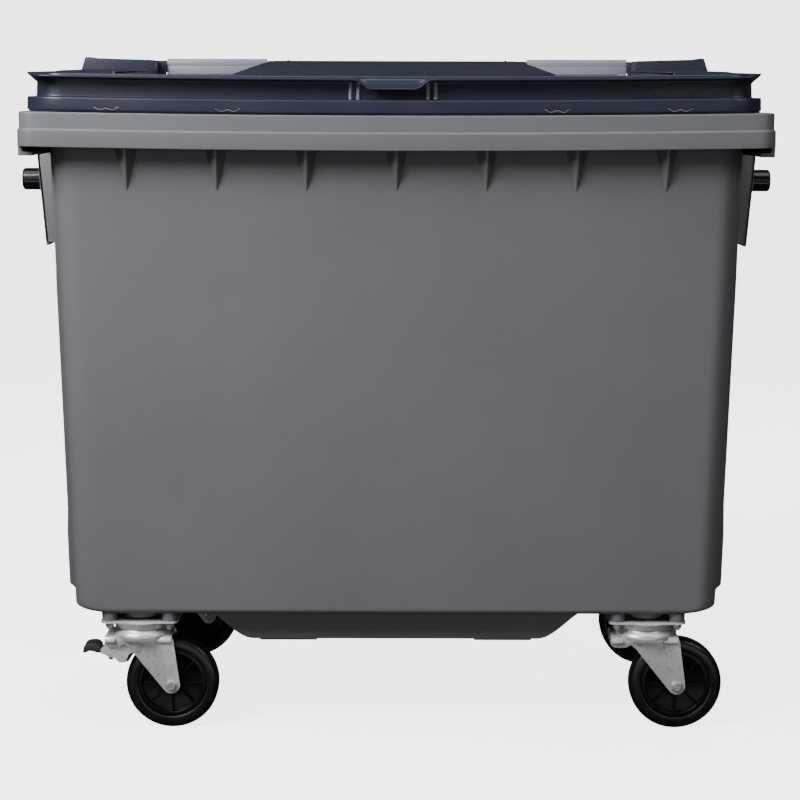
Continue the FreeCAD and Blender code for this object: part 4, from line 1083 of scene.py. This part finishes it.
def make_looks():
    return {
        "body_plastic": moulded_plastic("grey_polyethylene", (0.110, 0.112, 0.121), 0.46),
        "lid_plastic": moulded_plastic("slate_polyethylene", (0.0150, 0.0182, 0.0345), 0.32, scuff=0.2),
        # Near-black line of painted shade for the shaded upper wall of the W grooves.
        "groove": rubber("groove_painted_shade", (0.003, 0.003, 0.004), 0.6, 0.0),
        # Pale slate of painted light: painted highlights on the grip beads and the lit lower line of the W
        # marks.
        "painted_light_lid": moulded_plastic("painted_light_slate", (0.24, 0.25, 0.28), 0.42),
        # Paler than the body plastic as painted light from above on the rear grips.
        "handle_plastic": moulded_plastic("top_lit_grey_plastic", (0.190, 0.205, 0.240), 0.36, streaks=0.1),
        "black_plastic": moulded_plastic("black_plastic", (0.0035, 0.0035, 0.0045), 0.20, grain=0.02),
        "pedal_plastic": moulded_plastic("charcoal_plastic", (0.020, 0.020, 0.021), 0.50),
        "wheel_plastic": moulded_plastic("wheel_plastic", (0.0014, 0.0013, 0.0014), 0.36, grain=0.1,
                                         gloss=0.2),
        "tyre_rubber": rubber("black_rubber", (0.0030, 0.0028, 0.0030), 0.33, 0.05),
        "seal_rubber": rubber("seal_rubber", (0.012, 0.012, 0.012), 0.60),
        "zinc_sheet": plated_steel("zinc_sheet", (0.66, 0.68, 0.665), 0.32, (0.84, 0.84, 0.79),
                                   metallic=0.5),
        "zinc_hardware": plated_steel("zinc_hardware", (0.50, 0.51, 0.53), 0.24, metallic=0.6),
        "yellow_zinc": plated_steel("yellow_zinc", (0.42, 0.39, 0.27), 0.34, (0.9, 0.95, 1.2),
                                    metallic=0.5),
        "steel_rod": plated_steel("steel_rod", (0.20, 0.205, 0.22), 0.42, metallic=0.6),
        "bearing_steel": polished_steel("bearing_steel"),
    }


def dress_cad_nodes(looks):
    """Give every CAD node that stays visible its finish."""
    finishes = {part["node"]: part["material_slot"] for part in frame["record"]["subparts"]}
    for node, obj in NODES.items():
        for slot in obj.material_slots:
            slot.material = looks[finishes[node]]


# -------- studio

def area_light(name, energy, size, position, target, in_gloss=True):
    data = bpy.data.lights.new(name, "AREA")
    data.energy = energy
    data.shape = "RECTANGLE"
    data.size, data.size_y = size
    obj = in_scene(name, data)
    obj.location = position
    obj.rotation_euler = (Vector(target) - Vector(position)).to_track_quat("-Z", "Y").to_euler()
    obj.visible_camera = False
    obj.visible_glossy = in_gloss


def glowing(name, base, strength):
    """Pale studio surface with a soft light of its own."""
    look = Shader(name)
    tone = look.mix(look.noise(3.0, 4.0), [0.97 * base] * 3, [base] * 3)
    look.link(tone, look.bsdf.inputs["Base Color"])
    look.link(tone, look.bsdf.inputs["Emission Color"])
    look.set(roughness=0.8, emission_strength=strength)
    return look.material


def studio_surface(obj):
    """Part of the studio that the camera sees, but that adds no light to the container."""
    obj.visible_diffuse = False
    obj.visible_glossy = False


def make_studio():
    world = bpy.data.worlds.new("studio")
    world.use_nodes = True
    background = world.node_tree.nodes["Background"]
    background.inputs["Color"].default_value = (1.0, 1.0, 1.0, 1.0)
    background.inputs["Strength"].default_value = 0.05
    bpy.context.scene.world = world

    size, height = 30000.0, 24000.0
    floor = mm([(-size, -size, 0), (size, -size, 0), (size, size, 0), (-size, size, 0)])
    studio_surface(new_object("studio_floor", floor, [[0, 1, 2, 3]], glowing("pale_floor", 0.86, 4.0)))
    wall = [(size - 200, -100), (size, -100), (size, height), (size - 200, height)]
    studio_surface(turned("studio_wall", wall, (0, 0, 0), (0, 0, 1), glowing("pale_wall", 0.86, 4.2), 48))

    area_light("key", 178, (1.4, 1.4), (-1.9, -2.0, 2.6), (-0.7, -0.35, 1.05))
    area_light("top", 50, (3.0, 1.6), (0.0, -0.9, 3.6), (0, 0, 0.9))
    area_light("front_left", 5, (0.9, 0.35), (-1.4, -4.4, 1.5), (0, 0, 0.8))
    area_light("front_right", 2.5, (0.6, 0.3), (1.4, -4.5, 1.5), (0, 0, 0.8))
    area_light("low", 7, (3.0, 0.3), (0.0, -1.9, 0.10), (0, 0, 0.14))
    area_light("right", 21, (0.8, 1.2), (2.3, -1.7, 2.4), (0.65, -0.35, 1.1))
    area_light("rear", 80, (3.0, 2.0), (0.8, 3.4, 2.6), (0, 0, 0.7), in_gloss=False)


CAMERA_DISTANCE = 3.5355
CAMERA_HEIGHT = 1.1123
CAMERA_TILT = 8.165
CAMERA_PAN = 0.108
CAMERA_ROLL = 0.15
LENS = 95.55


def make_camera():
    data = bpy.data.cameras.new("camera")
    data.lens = LENS
    data.sensor_width = 36.0
    camera = in_scene("camera", data)
    camera.location = (0.0, RIM_FRONT * MM - CAMERA_DISTANCE, CAMERA_HEIGHT)
    turn = Matrix.Rotation(math.radians(-CAMERA_PAN), 3, "Z")
    turn = turn @ Matrix.Rotation(math.radians(90 - CAMERA_TILT), 3, "X")
    turn = turn @ Matrix.Rotation(math.radians(CAMERA_ROLL), 3, "Z")
    camera.rotation_euler = turn.to_euler()
    bpy.context.scene.camera = camera


# -------- the whole container

looks = make_looks()
make_camera()
make_studio()
dress_cad_nodes(looks)
make_body(looks["body_plastic"])
make_lid(looks["lid_plastic"], looks["groove"], looks["painted_light_lid"])
for side in (-1, 1):
    rear_handle(side, looks["handle_plastic"])
for castor in CASTORS:
    make_castor(castor, looks)
plate_nuts(looks)
